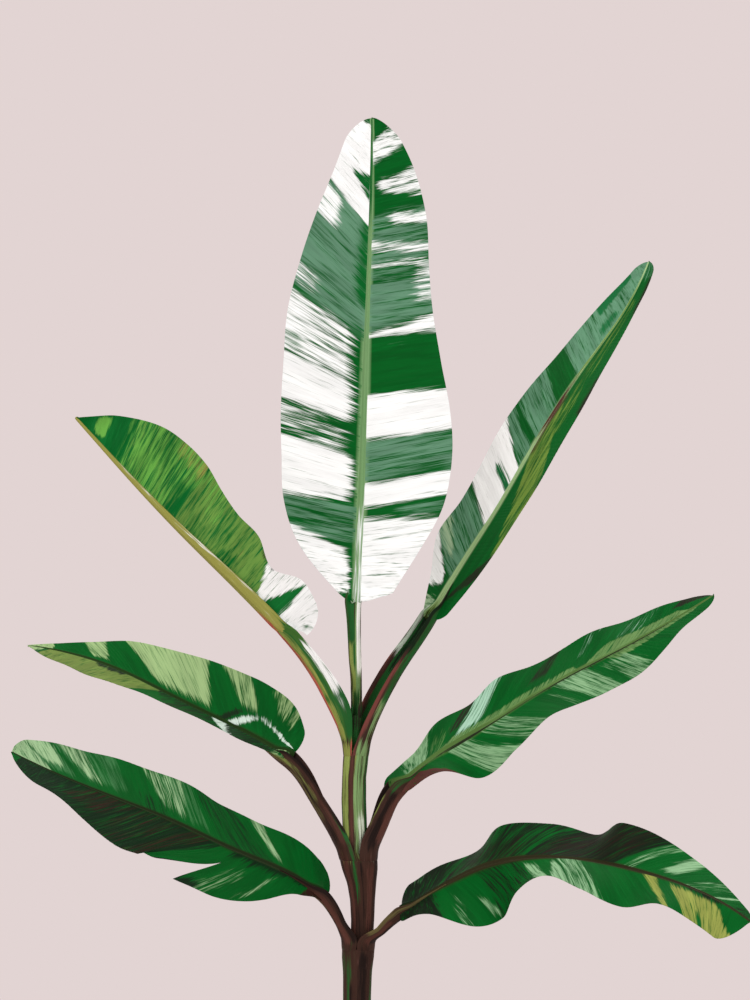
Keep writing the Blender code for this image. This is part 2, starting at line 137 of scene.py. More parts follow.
# Widths of the edges of bands: along and across a blade in shares, along and round a stalk or a
# midrib, and up the stem in metres and round it in degrees
BAND_EDGE, BAND_FADE = 0.018, 0.24
ROUND_EDGE, ROUND_FADE = 0.12, 0.25
STEM_EDGE, STEM_FADE = 0.02, 14.0
RIB_TONE_RIBS, RIB_TONE_EDGE = 1.12, 0.3    # reach and edge of the midrib's tone, in half ribs
RIB_CLEAR = 0.75             # share of the midrib that the half blades' bands leave clear

# The map along the grain: the length for one unit along it, the width across it of a blade's
# column, of a stalk's half turn and of the stem's radius, and where each kind of piece starts
GRAIN_LENGTH = 0.09
GRAIN_COLUMN, GRAIN_STALK, GRAIN_STEM = 0.0022, 0.030, 0.018
BLADE_START, RIB_START, STALK_START, STEM_START = 1.0, 10, 20.0, 40.0


class Leaf:
    """One leaf's sizes and bands; widths, lifts and veins stand at even stations."""

    roll = 0.0
    base_round = 0.012
    tip_round = 0.030
    rib_half = 0.006
    rib_depth = 0.010
    rib_spread = 0.0           # how much wider the midrib's own tone is at the tip
    ripple = 0.002
    long_grain = 0             # side on which the streaks run along the blade
    left_lobe = right_lobe = 0.0
    tear = None                # side, station, gap, and how much width is left beside it
    left_wrap = right_wrap = None
    left_flare = left_spread = (0.0, 0.0)  # how far a stalk's left edge turns up, and out
    left_tuck = 1.0            # share of the left half blade's width that is left at the base
    tones = stalk_tones = {}   # tones of its own as screen values
    rib_bands = left_bands = right_bands = stalk_bands = {}

    def __init__(self, name, **sizes):
        self.name = name
        self.__dict__.update(sizes)
        for size in ("width", "lift", "veins", "lobe", "bands", "wrap"):
            setattr(self, size, {-1: getattr(self, "left_" + size),
                                 1: getattr(self, "right_" + size)})


# Each leaf's bands stand under their tone. A band on half a blade: first and last vein where it
# starts at the midrib, the same at the margin, how fully it covers, its reach from midrib 0 to
# margin 1, and how soft its edges are beside those of the other bands.
# A band on a stalk or a midrib: from and to along it, how fully, and from and to round it, from
# the left edge -1 over the back 0 to the right edge 1; a stalk's groove is 2 to 4.
LEAVES = (
    Leaf(
        "lower_left", slot="leaf_deep_green", stalk_slot="stalk_maroon",
        heading=212, foot=(-.007, -.006, .264), seat=(LOWER_TIER, .0137, .024), seat_wrap=50,
        stalk_length=.082, stalk_half=(.0085, .009), stalk_depth=(.0175, .014),
        stalk_climb=(78, 64, 57, 50, 38),
        blade_length=.479, blade_climb=(36, 21, 24, 20, 21, 26),
        tear=(-1, .28, .03, .74),
        left_width=(.018, .03, .057, .084, .096, .1, .083, .09, .066, .05, .04),
        left_lift=(-50, -52, -55, -52, -50, -50, -48, -46, -42, -38, -35),
        right_width=(.05, .068, .069, .074, .074, .074, .072, .074, .061, .051, .024),
        right_lift=(55, 52, 46, 48, 50, 52, 48, 45, 45, 45, 47),
        left_veins=(2, 2), right_veins=(.5, .6, .2, .4, .8), right_lobe=.01,
        left_wrap=(48, 75, 100), left_tuck=.45,
        rib_tone=(34, 46, 24),
        tones={"pale": (152, 190, 142), "grey": (62, 122, 72), "dark": (14, 40, 20),
               "maroon": (50, 30, 24)},
        stalk_bands=dict(
            # The maroon band is a painted highlight on the left of the stalk's back.
            maroon=[(.05, 1.1, .85, -.62, -.05)], grey=[(.72, 1.1, .6, -.45, .1)],
            dark=[(.02, 1.1, .95, -1.4, -.7), (-.1, 1.1, .95, 2, 4), (-.1, 1.1, .6, .05, 1.4)],
            green=[(-.1, .14, .6, -1.4, -.3)]),
        left_bands=dict(
            maroon=[(-.1, .05, -.1, .06, .95), (.37, .44, .4, .47, .48),
                (.6, .76, .64, .8, .48, 0, .7), (.46, .6, .5, .62, .36)],
            pale=[(.135, .15, .155, .17, .75, .15, .9), (.205, .24, .21, .26, .45, .25, 1)],
            dark=[(.34, .98, .36, .98, .84), (.05, .3, .05, .3, .8, 0, .12),
                (.235, .3, .235, .3, .95, .84, 1)]),
        right_bands=dict(
            pale=[(.125, .145, .12, .15, .75, .15, 1), (.44, .5, .41, .55, .55, .15, 1),
                (.69, .72, .71, .8, .7, .2, 1), (.8, .86, .82, .92, .85, .3, 1),
                (.87, 1.1, .92, 1.1, .85)],
            dark=[(.16, .33, .2, .36, .45), (.5, .6, .5, .58, .5, 0, .4)],
            grey=[(.36, .46, .36, .52, .6, .1, 1), (.6, .74, .62, .82, .6, .15, 1),
                (.78, 1.1, .82, 1.1, .9, .1, 1)]),
    ),
    Leaf(
        "lower_right", slot="leaf_deep_green", stalk_slot="stalk_maroon",
        heading=325, foot=(.0165, -.015, .264), seat=(LOWER_TIER, .014, .0205), seat_wrap=30,
        stalk_length=.068, stalk_half=(.008, .0085), stalk_depth=(.0145, .014),
        stalk_climb=(76, 54, 40, 34, 32),
        blade_length=.539, blade_climb=(32, 26, 9, -3, -10, -17, -32),
        tip_round=.02,
        left_width=(.044, .052, .061, .055, .057, .063, .057, .054, .045, .029, .012),
        left_lift=(50, 40, 32, 55, 46, 24, 62, 45, 32, 15, 15),
        right_width=(.02, .04, .07, .071, .056, .056, .063, .058, .05, .045, .046),
        right_lift=(-40, -42, -80, -78, -45, -17, -27, -42, -28, -37, -50),
        left_veins=(.4, .7, 1.3, 1.2, 1.4), right_veins=(.5, .9, 1.5, 2.2, 1.4),
        right_wrap=(58, 80, 100),
        rib_tone=(46, 44, 26),
        tones={"pale": (140, 186, 140), "warm": (144, 156, 76), "dark": (20, 34, 20),
               "maroon": (42, 22, 22)},
        stalk_bands=dict(
            # The grey band is a painted highlight along the stalk's right edge.
            grey=[(.25, 1.1, .85, .6, 1.4)], maroon=[(-.1, .8, .85, .25, .72)],
            dark=[(.1, 1.1, .9, -.5, .3), (-.1, 1.1, .9, 2, 4)], green=[(.62, 1.1, .7, -.6, .05)]),
        left_bands=dict(
            dark=[(-.1, .12, -.1, .12, .8), (.12, .36, .12, .36, .66), (.37, .62, .36, .625, .84),
                (.93, 1.1, .93, 1.1, .5)],
            maroon=[(.38, .6, .38, .61, .42), (.12, .34, .14, .34, .4, 0, .6)],
            # The second pale band is a painted highlight along the margin of this half's rounded
            # base.
            pale=[(.64, .67, .62, .66, .5), (-.1, .03, -.1, .07, .6, .7, 1),
                (.72, .76, .69, .74, .85, .2, 1), (.8, .86, .8, .86, .4),
                (.885, .9, .88, .9, .8)]),
        right_bands=dict(
            dark=[(-.1, .11, -.1, .1, .85), (.23, .36, .2, .36, .5),
                (.82, .92, .84, .88, .8, 0, .1)],
            pale=[(.15, .155, .12, .135, .6, .2, 1), (.18, .19, .19, .22, .7, .45, .95),
                (.365, .395, .36, .4, .9, .08, 1), (.445, .465, .41, .46, .85, .08, 1),
                (.46, .53, .46, .54, .6)],
            warm=[(.7, .735, .685, .705, .95), (.77, .9, .76, .97, .9, .08, 1)],
            green=[(.83, .85, .82, .85, .7, .7, 1)]),
    ),
    Leaf(
        "middle_left", slot="leaf_fresh_green", stalk_slot="stalk_maroon",
        heading=150, foot=(-.013, .008, .376), seat=(UPPER_TIER, .0142, .022), seat_wrap=62,
        stalk_length=.152, stalk_half=(.012, .0105), stalk_depth=(.024, .021),
        stalk_climb=(73, 60, 55, 52, 33),
        blade_length=.415, blade_climb=(31, 22, 23, 22, 13, 6),
        ripple=.0004,
        left_width=(.018, .042, .05, .054, .053, .053, .048, .045, .033, .023, .004),
        left_lift=(10, 3, 5, 5, 3, 0, -7, -15, -18, -20, -8),
        right_width=(.037, .066, .072, .072, .07, .064, .056, .045, .028, .014, .003),
        right_lift=(45, 50, 55, 55, 52, 50, 47, 47, 42, 40, 33),
        left_veins=(0, .1, .1, .3, .5), right_veins=(.8, 1.6, 2, 1.8, 1.2),
        left_wrap=(115, 112, 108, 104, 100), right_wrap=(62, 62, 70, 86, 100),
        rib_tone=(38, 62, 26),
        tones={"pale": (154, 186, 128), "warm": (112, 136, 66), "dark": (24, 44, 24),
               "cream": (204, 224, 212)},
        stalk_bands=dict(
            dark=[(.2, 1.1, 1, -1.4, -.9), (-.1, .75, .6, -.66, -.42), (.35, 1.1, .55, -.16, .2),
                (-.1, 1.1, .9, 2, 4)],
            green=[(.05, .35, .8, -1.4, -.86)],
            # The first maroon band and the warm band are painted highlights along the stalk's left
            # side.
            maroon=[(0, .72, .9, -.88, -.7), (-.1, .45, .4, -.4, -.1)],
            warm=[(.5, 1.1, .75, -.74, -.56)], grey=[(.35, 1.1, .85, -.6, -.3)]),
        left_bands=dict(
            warm=[(.49, .92, .52, .92, .95)],
            pale=[(.93, 1.1, .94, 1.1, .9), (-.1, .05, -.1, .05, .6)],
            dark=[(.62, .74, .64, .66, .8, 0, .2), (.03, .24, .03, .16, .75),
                (.29, .5, .18, .4, .6)],
            cream=[(.225, .29, .14, .175, .85)]),
        right_bands=dict(
            pale=[(.03, .08, .05, .1, .6, .55, 1), (.115, .16, .13, .19, .75, .35, 1),
                (.3, .5, .235, .53, .95, .12, 1), (.7, .76, .615, .715, .85, .2, 1),
                (.91, 1.1, .88, 1.1, .95)],
            # The cream bands paint the curled base of the left half onto this half; the dark bands
            # beside them are its painted outline and painted shadow.
            cream=[(.205, .24, -.1, -.07, 1.1, 0, .33, 1.3),
                (-.1, -.045, .43, .495, 1.1, .08, .32, 1.3)],
            dark=[(.25, .28, -.05, -.025, 1, 0, .34, 1), (-.14, -.115, .395, .42, 1, .1, .32, 1)]),
    ),
    Leaf(
        "middle_right", slot="leaf_deep_green", stalk_slot="stalk_maroon",
        heading=22, foot=(.015, .006, .376), seat=(UPPER_TIER, .0142, .025), seat_wrap=62,
        stalk_length=.095, stalk_half=(.0125, .011), stalk_depth=(.027, .0245),
        stalk_climb=(83, 73, 66, 63, 45),
        blade_length=.5, blade_climb=(44, 28, 30, 25, 26, 31),
        tip_round=.022,
        left_width=(.024, .034, .05, .049, .057, .05, .052, .049, .042, .028, .012),
        left_lift=(35, 15, 32, 28, 38, 28, 30, 32, 30, 32, 32),
        right_width=(.014, .035, .057, .06, .057, .052, .053, .048, .036, .02, .012),
        right_lift=(-30, -15, -60, -33, -23, -30, -40, -42, -35, -20, -27),
        left_veins=(1, 2, 1.6, 2.4, 2.4), right_veins=(.6, .7, .5, .7, .7), left_lobe=.008,
        left_wrap=(62, 78, 84, 92, 100), right_wrap=(110, 108, 105, 102, 100),
        rib_tone=(80, 112, 56),
        tones={"pale": (132, 176, 130), "cream": (166, 210, 184), "warm": (106, 144, 84)},
        rib_bands=dict(
            dark=[(.12, .9, .95, 0, 1.4)], warm=[(.25, .75, .6, -1, -.2)]),
        stalk_bands=dict(
            warm=[(.35, .85, .55, .9, 1.4)],
            dark=[(-.1, .95, .95, .56, .9), (-.1, .35, .5, .1, .4), (-.1, 1.1, .6, -.5, .02),
                (-.1, 1.1, .9, 2, 4)],
            # The maroon band is a painted highlight on the right of the stalk's back.
            maroon=[(.22, 1.1, .9, .05, .6)], green=[(.86, 1.1, .6, .7, 1.4)]),
        left_bands=dict(
            pale=[(.045, .115, .05, .11, .8)],
            warm=[(.115, .17, .115, .14, .45, 0, .7), (.16, .58, .3, .45, .8, 0, .17, .3),
                (.6, .93, .7, .8, .85, 0, .42, .4)],
            dark=[(.15, .18, .155, .185, .8, .3, 1), (.38, .46, .41, .47, .7, .35, 1),
                (.8, 1.1, .86, 1.1, .9, .62, 1, .5)],
            cream=[(.19, .26, .185, .27, .75, .15, 1), (.545, .57, .56, .59, .36, .3, 1),
                (.66, .76, .66, .77, .3, .4, 1)],
            green=[(.62, .8, .62, .78, .5, .5, 1)]),
        right_bands=dict(
            maroon=[(-.1, .07, -.1, .11, .95)],
            pale=[(.165, .235, .165, .24, .8), (.27, .35, .26, .35, .55),
                (.46, .475, .455, .475, .5, .1, 1), (.5, .6, .51, .6, .72),
                (.625, .71, .625, .71, .6, .1, 1)],
            warm=[(.66, .95, .72, .84, .8, 0, .22, .3)], dark=[(.45, .85, .45, .85, .6, 0, .06)]),
    ),
    Leaf(
        "upper_left", slot="leaf_fresh_green", stalk_slot="stalk_green",
        heading=205, foot=(-.011, -.004, .506), seat=(CORE_TIER, .008, .015), seat_wrap=78,
        stalk_length=.173, stalk_half=(.011, .01), stalk_depth=(.0215, .0175),
        stalk_climb=(84, 66, 55, 46),
        blade_length=.394, blade_climb=(45, 42, 41, 43, 45, 46),
        rib_half=.0045, rib_depth=.016,
        left_width=(.05, .059, .043, .06, .062, .07, .079, .079, .071, .046, .012),
        left_lift=(75, 75, 75, 70, 65),
        right_width=(.03, .045, .042, .05, .052, .058, .066, .066, .058, .038, .01),
        right_lift=(50, 50, 50, 45, 40),
        left_veins=(0, .05, .2, .5, 1), right_veins=(0, .05, .2, .5, 1), left_lobe=.014,
        left_wrap=(42, 75, 100, 100), left_flare=(0, .004, .01, .007, .002, 0, 0),
        rib_tone=(142, 144, 72),
        tones={"base": (14, 102, 42), "pale": (102, 172, 72), "grey": (156, 152, 78),
               "warm": (102, 146, 66), "maroon": (186, 90, 78)},
        stalk_tones={"maroon": (182, 94, 80), "grey": (60, 104, 44), "warm": (140, 150, 76),
                     "cream": (238, 244, 242)},
        rib_bands=dict(
            cream=[(.08, .8, .39, -.72, -.36)], green=[(-.1, .08, .7, -.9, -.34)],
            maroon=[(-.1, .13, .9, -.1, 1.4)]),
        stalk_bands=dict(
            maroon=[(.18, 1.1, .85, -.24, .6)],
            warm=[(.45, 1.1, .9, -.56, -.16), (-.1, .45, .9, -.6, .2)],
            grey=[(.06, 1.1, 1.2, -1.4, 1.4), (.06, 1.1, 1.2, 2, 4)],
            green=[(.02, .5, .95, -1.4, -.58), (.2, 1.1, .7, -.66, -.42), (-.1, .26, .9, 2, 4)],
            cream=[(.34, .92, .85, -1.4, -.68), (.22, 1.1, .8, 2, 4)]),
        left_bands=dict(
            cream=[(-.1, .075, -.1, .08, .9), (.145, .17, .08, .22, .85)],
            warm=[(.16, .56, .2, .54, .8), (.56, .8, .54, .8, .5)],
            pale=[(.4, .5, .42, .52, .45, .4, 1), (.6, .82, .5, .82, .6),
                (.88, .925, .875, .92, 1.2, .2, .95)],
            green=[(.34, .4, .36, .42, .45), (.54, .6, .57, .6, .7, 0, .6),
                (.62, .72, .64, .7, .4, .4, 1), (.85, .87, .86, .885, .7, .6, 1),
                (.3, .36, .3, .36, .75, 0, .35), (.42, .5, .44, .52, .6, 0, .4),
                (.72, .78, .74, .78, .4, 0, .5), (.79, .87, .79, .88, .6),
                (.94, 1.1, .94, 1.1, .9)],
            grey=[(.22, .36, .24, .34, .4, .1, .7), (.52, .64, .54, .66, .8, .72, 1)],
            dark=[(.15, .25, .18, .27, .5, .9, 1, .5)]),
        right_bands=dict(
            cream=[(-.1, .075, -.1, .08, .9)],
            warm=[(.17, .37, .2, .37, .95), (.37, .6, .37, .48, .6)],
            pale=[(.7, .86, .72, .86, .65)]),
    ),
    Leaf(
        "upper_right", slot="leaf_grey_green", stalk_slot="stalk_green",
        heading=38, foot=(.009, .006, .506), seat=(CORE_TIER, .008, .015), seat_wrap=78,
        stalk_length=.203, stalk_half=(.012, .011), stalk_depth=(.022, .019),
        stalk_climb=(80, 66, 55, 48, 53),
        blade_length=.583, blade_climb=(54, 50, 54, 50, 47, 64),
        tip_round=.014, rib_half=.005, ripple=.0005, long_grain=1,
        left_width=(.012, .036, .06, .058, .062, .061, .06, .055, .051, .036, .014),
        left_lift=(17, 13, 20, 18, 16, 19, 17, 13, 13, 16, 12),
        right_width=(.018, .035, .047, .05, .057, .052, .053, .043, .034, .024, .012),
        right_lift=(-22, -10, -3, 0, 2, 0, 2, 3, 5, 7, -10),
        left_veins=(1, 1), right_veins=(.2, .1, .1, .1, .2),
        left_wrap=(78, 112, 112, 105, 100), right_wrap=(150, 116, 104, 100, 100),
        rib_tone=(156, 188, 134),
        # Its cream is brighter than the shared cream: painted light that makes up for this blade
        # facing away from the lights.
        tones={"pale": (158, 188, 150), "warm": (108, 140, 56), "cream": (250, 255, 253),
               "green": (22, 106, 56), "grey": (96, 146, 114)},
        stalk_tones={"maroon": (112, 62, 56), "dark": (20, 38, 22), "cream": (186, 204, 186)},
        rib_bands=dict(
            maroon=[(.5, .66, .9, -1.2, 1.2)],
            warm=[(.66, .96, .8, -1.2, 1.2), (-.1, .07, .8, -1.2, 1.2)],
            dark=[(-.1, .01, .9, -1.2, 1.2)]),
        stalk_bands=dict(
            maroon=[(-.1, .62, 1, .82, 1.4), (.05, .7, .9, -1.4, -.92), (.05, .7, .9, 2, 2.08),
                (-.1, .62, .9, 3.9, 4)],
            pale=[(-.1, .4, .8, .4, .8)], warm=[(.1, .4, .6, .66, .84)],
            green=[(.02, 1.1, .9, -.6, .38), (.32, 1.1, .9, .3, .82), (.05, 1.1, .95, 2.2, 3.9)],
            dark=[(.3, 1.1, .75, -.2, .4), (.7, 1.1, .9, .74, 1.4), (.55, 1.1, .85, 2.3, 4)],
            cream=[(.66, 1.1, .9, -1.4, -.8), (.66, 1.1, .9, 2, 2.22)]),
        left_bands=dict(
            pale=[(-.1, .05, -.1, .05, .8, .1, 1), (.12, .14, .135, .18, .75, .3, 1)],
            cream=[(.085, .085, .06, .14, .95, .2, 1), (.255, .41, .265, .435, 1)],
            grey=[(.1, .26, .12, .25, .85), (.41, .47, .435, .47, .9), (.49, .59, .49, .6, .85),
                (.67, 1.1, .67, 1.1, .95)],
            green=[(.345, .372, .345, .372, .95, 0, .62), (.78, .86, .79, .82, .8, .1, .45),
                (.8, .93, .8, .94, .95, .72, 1, .5)]),
        right_bands=dict(
            dark=[(.03, .05, .1, .17, .8), (.52, .6, .55, .66, .8, .85, 1),
                (.8, .95, .84, .96, .7, .75, 1)],
            warm=[(.44, .62, .14, .37, .7), (.5, .9, .5, .9, .5, .12, .6)],
            maroon=[(.45, .62, .45, .62, .7, 0, .12)], grey=[(.95, 1.1, .95, 1.1, .6)]),
    ),
    Leaf(
        "centre", slot="leaf_cream", stalk_slot="stalk_green",
        heading=74, foot=(-.0008, 0, .556), seat=(None, .002, .007), seat_wrap=150,
        stalk_length=.142, stalk_half=(.007, .0068), stalk_depth=(.0135, .012),
        stalk_climb=(88, 93, 93, 80),
        blade_length=.613, blade_climb=(80, 81, 84, 82, 85, 89),
        roll=-16, rib_spread=.8,
        left_width=(.014, .073, .098, .104, .106, .105, .101, .088, .069, .046, .024),
        left_lift=(14, 12, 12, 10, 8),
        right_width=(.04, .075, .106, .114, .11, .096, .084, .076, .071, .053, .022),
        right_lift=(14, 12, 12, 10, 8),
        left_veins=(.1, .2, .6, 1.3, 1.5), right_veins=(.05, .2, .15, .2, .4), right_lobe=-.006,
        left_spread=(0, .0002, .0005, .002, .0028, .0042, .0075),
        rib_tone=(112, 152, 102),
        stalk_tones={"cream": (240, 243, 238)},
        rib_bands=dict(
            cream=[(-.1, .2, .5, -1.2, 1.2)],
            green=[(.3, .48, .3, -1.2, 1.2), (.78, 1.1, .75, -1.2, 1.2)]),
        stalk_bands=dict(
            pale=[(-.1, 1.1, .8, -1.4, 1.4), (-.1, 1.1, .9, 2.9, 4)],
            dark=[(-.1, .42, .8, -1.4, 1.4), (-.1, .2, .42, 2, 4), (.2, .42, .7, 2, 2.35)],
            green=[(-.1, .22, .8, 2.2, 3.8), (.2, 1.1, .85, -1.4, -.3), (.62, 1.1, .95, 2, 2.95),
                (.4, .68, .85, 2.6, 3)],
            warm=[(.06, .68, .95, 2, 3.2)],
            cream=[(.36, 1.1, 1, 3.12, 4), (.4, 1.1, .9, .6, 1.4)]),
        left_bands=dict(
            cream=[(.02, .1, .015, .135, .85, .1, 1), (.205, .3, .19, .3, 1, .08, 1),
                (.3, .36, .3, .36, .45, .15, 1), (.365, .44, .36, .44, .95, .1, 1),
                (.44, .545, .44, .545, .7, .12, 1), (.56, .6, .56, .6, .5, .65, 1),
                (.7, .77, .7, .775, .8, .62, 1), (.775, .985, .785, .985, .95)],
            grey=[(.12, .2, .115, .19, .75), (.54, .78, .55, .785, .95),
                (.89, 1, .89, 1, .6, 0, .35)],
            green=[(.45, .48, .455, .49, .5, .75, 1), (.54, .56, .54, .555, .8, 0, .2),
                (.6, .78, .62, .76, .8, 0, .2), (.02, .5, .02, .5, .5, 0, .05),
                (.83, .885, .875, .845, .85, 0, .6)]),
        right_bands=dict(
            cream=[(-.1, .172, -.1, .155, .85), (.195, .245, .195, .24, 1),
                (.335, .425, .325, .415, 1), (.545, .553, .54, .575, .9),
                (.62, .7, .6, .7, .5, .7, 1), (.69, .7, .685, .695, .75),
                (.725, .745, .705, .725, .8), (.78, .8, .76, .79, .7, .3, 1),
                (.845, .87, .82, .88, .65, .1, 1), (.905, .955, .925, .97, .7)],
            grey=[(.172, .19, .165, .19, .7, .4, 1), (.245, .335, .24, .32, .85),
                (.515, .53, .52, .535, .45, .1, .6), (.555, .66, .575, .66, .9),
                (.66, .8, .66, .8, .7), (.905, .96, .92, .975, .6)]),
    ),
)

# The tones in the order in which they lie over each other: how solidly each lies within its
# bands, how dark its shaded streaks are, and which streaks break up its edges.
TONES = {
    "grey": (0.74, 0.72, "shifted"), "warm": (0.80, 0.72, "narrow"), "pale": (0.80, 0.80, "wide"),
    "cream": (0.92, 0.86, "wide"), "green": (0.90, 0.80, "shifted"),
    "dark": (0.92, 0.75, "narrow"), "maroon": (0.92, 0.70, "wide"),
}


# Settings ----------------------------------------------------------------------------------
def screen_colour(values):
    """Linear light of a colour given as screen values 0..255."""
    shares = [value / 255 for value in values]
    return tuple(share / 12.92 if share <= 0.04045 else ((share + 0.055) / 1.055) ** 2.4
                 for share in shares)


def colour_setting(name, description, *values):
    """A colour given as the values 0..255 that a screen shows."""
    return FloatVectorProperty(name=name, description=description, subtype="COLOR", size=3,
                               min=0.0, max=1.0, default=screen_colour(values))


def length_setting(name, description, default, least, most):
    """A length in metres."""
    return FloatProperty(name=name, description=description, default=default, min=least,
                         max=most, unit="LENGTH")


def count_setting(name, description, default, least, most):
    """A number of faces."""
    return IntProperty(name=name, description=description, default=default, min=least, max=most)


class BladeSettings(bpy.types.PropertyGroup):
    """Sizes of the leaf blades."""

    row_spacing: length_setting(
        "Row spacing", "Distance between the rows of faces along a blade", 0.00125, 0.0005, 0.01)
    half_columns: count_setting("Columns", "Faces from the midrib to the margin", 26, 10, 60)
    rib_columns: count_setting(
        "Midrib columns", "How many of those faces lie on half the midrib", 5, 3, 12)
    thickness: length_setting(
        "Thickness", "Thickness of a blade between its veins", 0.0011, 0.0003, 0.004)
    pleat_height: length_setting(
        "Pleat height", "Half the height of the pleats along the veins", 0.00013, 0.0, 0.002)
    pleat_width: length_setting(
        "Pleat width", "Distance between two pleats at the midrib", 0.0068, 0.003, 0.02)
    roughness: FloatProperty(
        name="Roughness", description="Roughness of the blades' faces",
        default=0.55, min=0.1, max=1.0, subtype="FACTOR")


class ToneSettings(bpy.types.PropertyGroup):
    """Colours of the leaves' tones."""

    base: colour_setting("Deep green", "Ground tone of the blades", 0, 86, 27)
    grey: colour_setting("Grey-green", "Tone of the shaded bands", 94, 140, 112)
    warm: colour_setting("Olive", "Tone of the sunlit, yellowish bands", 120, 144, 66)
    pale: colour_setting("Pale green", "Tone of the light bands", 150, 190, 140)
    cream: colour_setting("Cream", "Tone of the white bands", 238, 245, 244)
    green: colour_setting("Green", "Tone of the green strokes", 4, 96, 36)
    dark: colour_setting("Black-green", "Tone of the darkest bands", 34, 40, 26)
    maroon: colour_setting("Maroon", "Tone of the red-brown bands", 84, 50, 44)
    streak_width: length_setting(
        "Streak width", "Width of the streaks at the edges of a band", 0.0042, 0.001, 0.02)


class StemSettings(bpy.types.PropertyGroup):
    """Sizes of the stalks and the pseudostem."""

    stalk_sides: count_setting("Stalk sides", "Faces round a stalk", 56, 24, 96)
    ring_spacing: length_setting(
        "Ring spacing", "Distance between the rings of a stalk", 0.0022, 0.001, 0.01)
    stem_sides: count_setting("Stem sides", "Faces round the pseudostem", 120, 48, 240)
    stem_ring_spacing: length_setting(
        "Stem ring spacing", "Distance between the rings of the pseudostem", 0.0018, 0.001, 0.01)
    sheath_thickness: length_setting(
        "Sheath edge", "Height of a sheath's edge over the one under it", 0.0011, 0.0, 0.004)


class StageSettings(bpy.types.PropertyGroup):
    """Floor, light and camera."""

    backdrop: colour_setting("Backdrop", "Colour of the space behind the plant", 226, 212, 211)
    floor: colour_setting("Floor", "Colour of the floor", 226, 216, 213)
    floor_radius: length_setting("Floor radius", "Radius of the round floor", 2.6, 1.0, 10.0)
    lens: FloatProperty(
        name="Lens", description="Focal length of the camera in millimetres",
        default=250.0, min=20.0, max=400.0)


class PlantSettings(bpy.types.PropertyGroup):
    """All settings of the plant."""

    blades: PointerProperty(type=BladeSettings)
    tones: PointerProperty(type=ToneSettings)
    stem: PointerProperty(type=StemSettings)
    stage: PointerProperty(type=StageSettings)


def settings():
    return bpy.context.scene.banana_plant


# The rule of a leaf ------------------------------------------------------------------------
def mix(a, b, share):
    return a + (b - a) * share


def ease(share):
    share = np.clip(share, 0.0, 1.0)
    return share * share * (3 - 2 * share)


def even(values, place):
    """Smooth values at places in 0..1, from values at even stations."""
    values = np.asarray(values, float)
    last = len(values) - 1
    scaled = np.clip(place, 0.0, 1.0) * last
    index = np.minimum(scaled.astype(int), last - 1)
    part = scaled - index
    low, high = values[index], values[index + 1]
    before, after = values[np.maximum(index - 1, 0)], values[np.minimum(index + 2, last)]
    low_slope = np.where(index > 0, (high - before) / 2, high - low)
    high_slope = np.where(index < last - 1, (after - low) / 2, high - low)
    square, cube = part * part, part * part * part
    return ((2 * cube - 3 * square + 1) * low + (cube - 2 * square + part) * low_slope
            + (3 * square - 2 * cube) * high + (cube - square) * high_slope)


def direction(heading, climb):
    """Unit vectors out along a leaf."""
    turn, slope = math.radians(heading), np.radians(climb)
    return np.stack([np.cos(slope) * math.cos(turn), np.cos(slope) * math.sin(turn),
                     np.sin(slope)], -1)


class CentreLine:
    """A leaf's centre line from its foot, through its stalk, to its blade's tip."""

    STEP = 0.002

    def __init__(self, leaf):
        self.leaf = leaf
        self.length = leaf.stalk_length + leaf.blade_length
        self.count = round(self.length / self.STEP)
        self.step = self.length / self.count
        middles = (np.arange(self.count) + 0.5) * self.step
        steps = direction(leaf.heading, self.climb(middles)) * self.step
        self.points = np.array(leaf.foot) + np.vstack([np.zeros(3), np.cumsum(steps, 0)])

    def climb(self, run):
        """Slopes at runs from the foot."""
        leaf = self.leaf
        return np.where(run < leaf.stalk_length, even(leaf.stalk_climb, run / leaf.stalk_length),
                        even(leaf.blade_climb, (run - leaf.stalk_length) / leaf.blade_length))

    def frame(self, run):
        """Points, ways out, ways to the right and ways up off the leaf's face."""
        place = np.clip(run / self.step, 0.0, self.count - 1e-9)
        index = place.astype(int)
        point = mix(self.points[index], self.points[index + 1], (place - index)[..., None])
        out = direction(self.leaf.heading, self.climb(run))
        turn = math.radians(self.leaf.heading)
        right = np.broadcast_to(np.array([math.sin(turn), -math.cos(turn), 0.0]), out.shape)
        up = np.cross(right, out)
        roll = math.radians(self.leaf.roll)
        return (point, out, right * math.cos(roll) + up * math.sin(roll),
                up * math.cos(roll) - right * math.sin(roll))


def half_width(leaf, side, along):
    """Distance from the midrib to the margin, rounded off at the base and the tip."""
    base = np.clip(along / leaf.base_round, 0.0, 1.0)
    tip = np.clip((leaf.blade_length - along) / leaf.tip_round, 0.0, 1.0)
    width = even(leaf.width[side], along / leaf.blade_length)
    if side < 0:
        width = width * mix(leaf.left_tuck, 1.0, ease(along / TUCK_RUN))
    foot = np.maximum(BASE_CUT_SHARE * width, BASE_CUT_RIBS * leaf.rib_half)
    width = mix(foot, width, np.sqrt(1 - (1 - base) ** 2))
    return width * np.sqrt(1 - (1 - tip) ** 2)


def vein_reach(leaf, side, start):
    """How much further along the leaf a vein ends than it starts."""
    sweep = even(leaf.veins[side], start / leaf.blade_length)
    wanted = sweep * half_width(leaf, side, start) * ease(start / VEIN_FAN)
    room = VEIN_ROOM_SHARE * (leaf.blade_length - start)
    good = (wanted > 0) & (room > 0)
    return np.where(good, wanted * room / np.where(good, wanted + room, 1.0), 0.0)


def rib_half(leaf, along):
    """Half the midrib's width."""
    return leaf.rib_half * mix(1.0, RIB_LEFT_AT_TIP, along / leaf.blade_length)


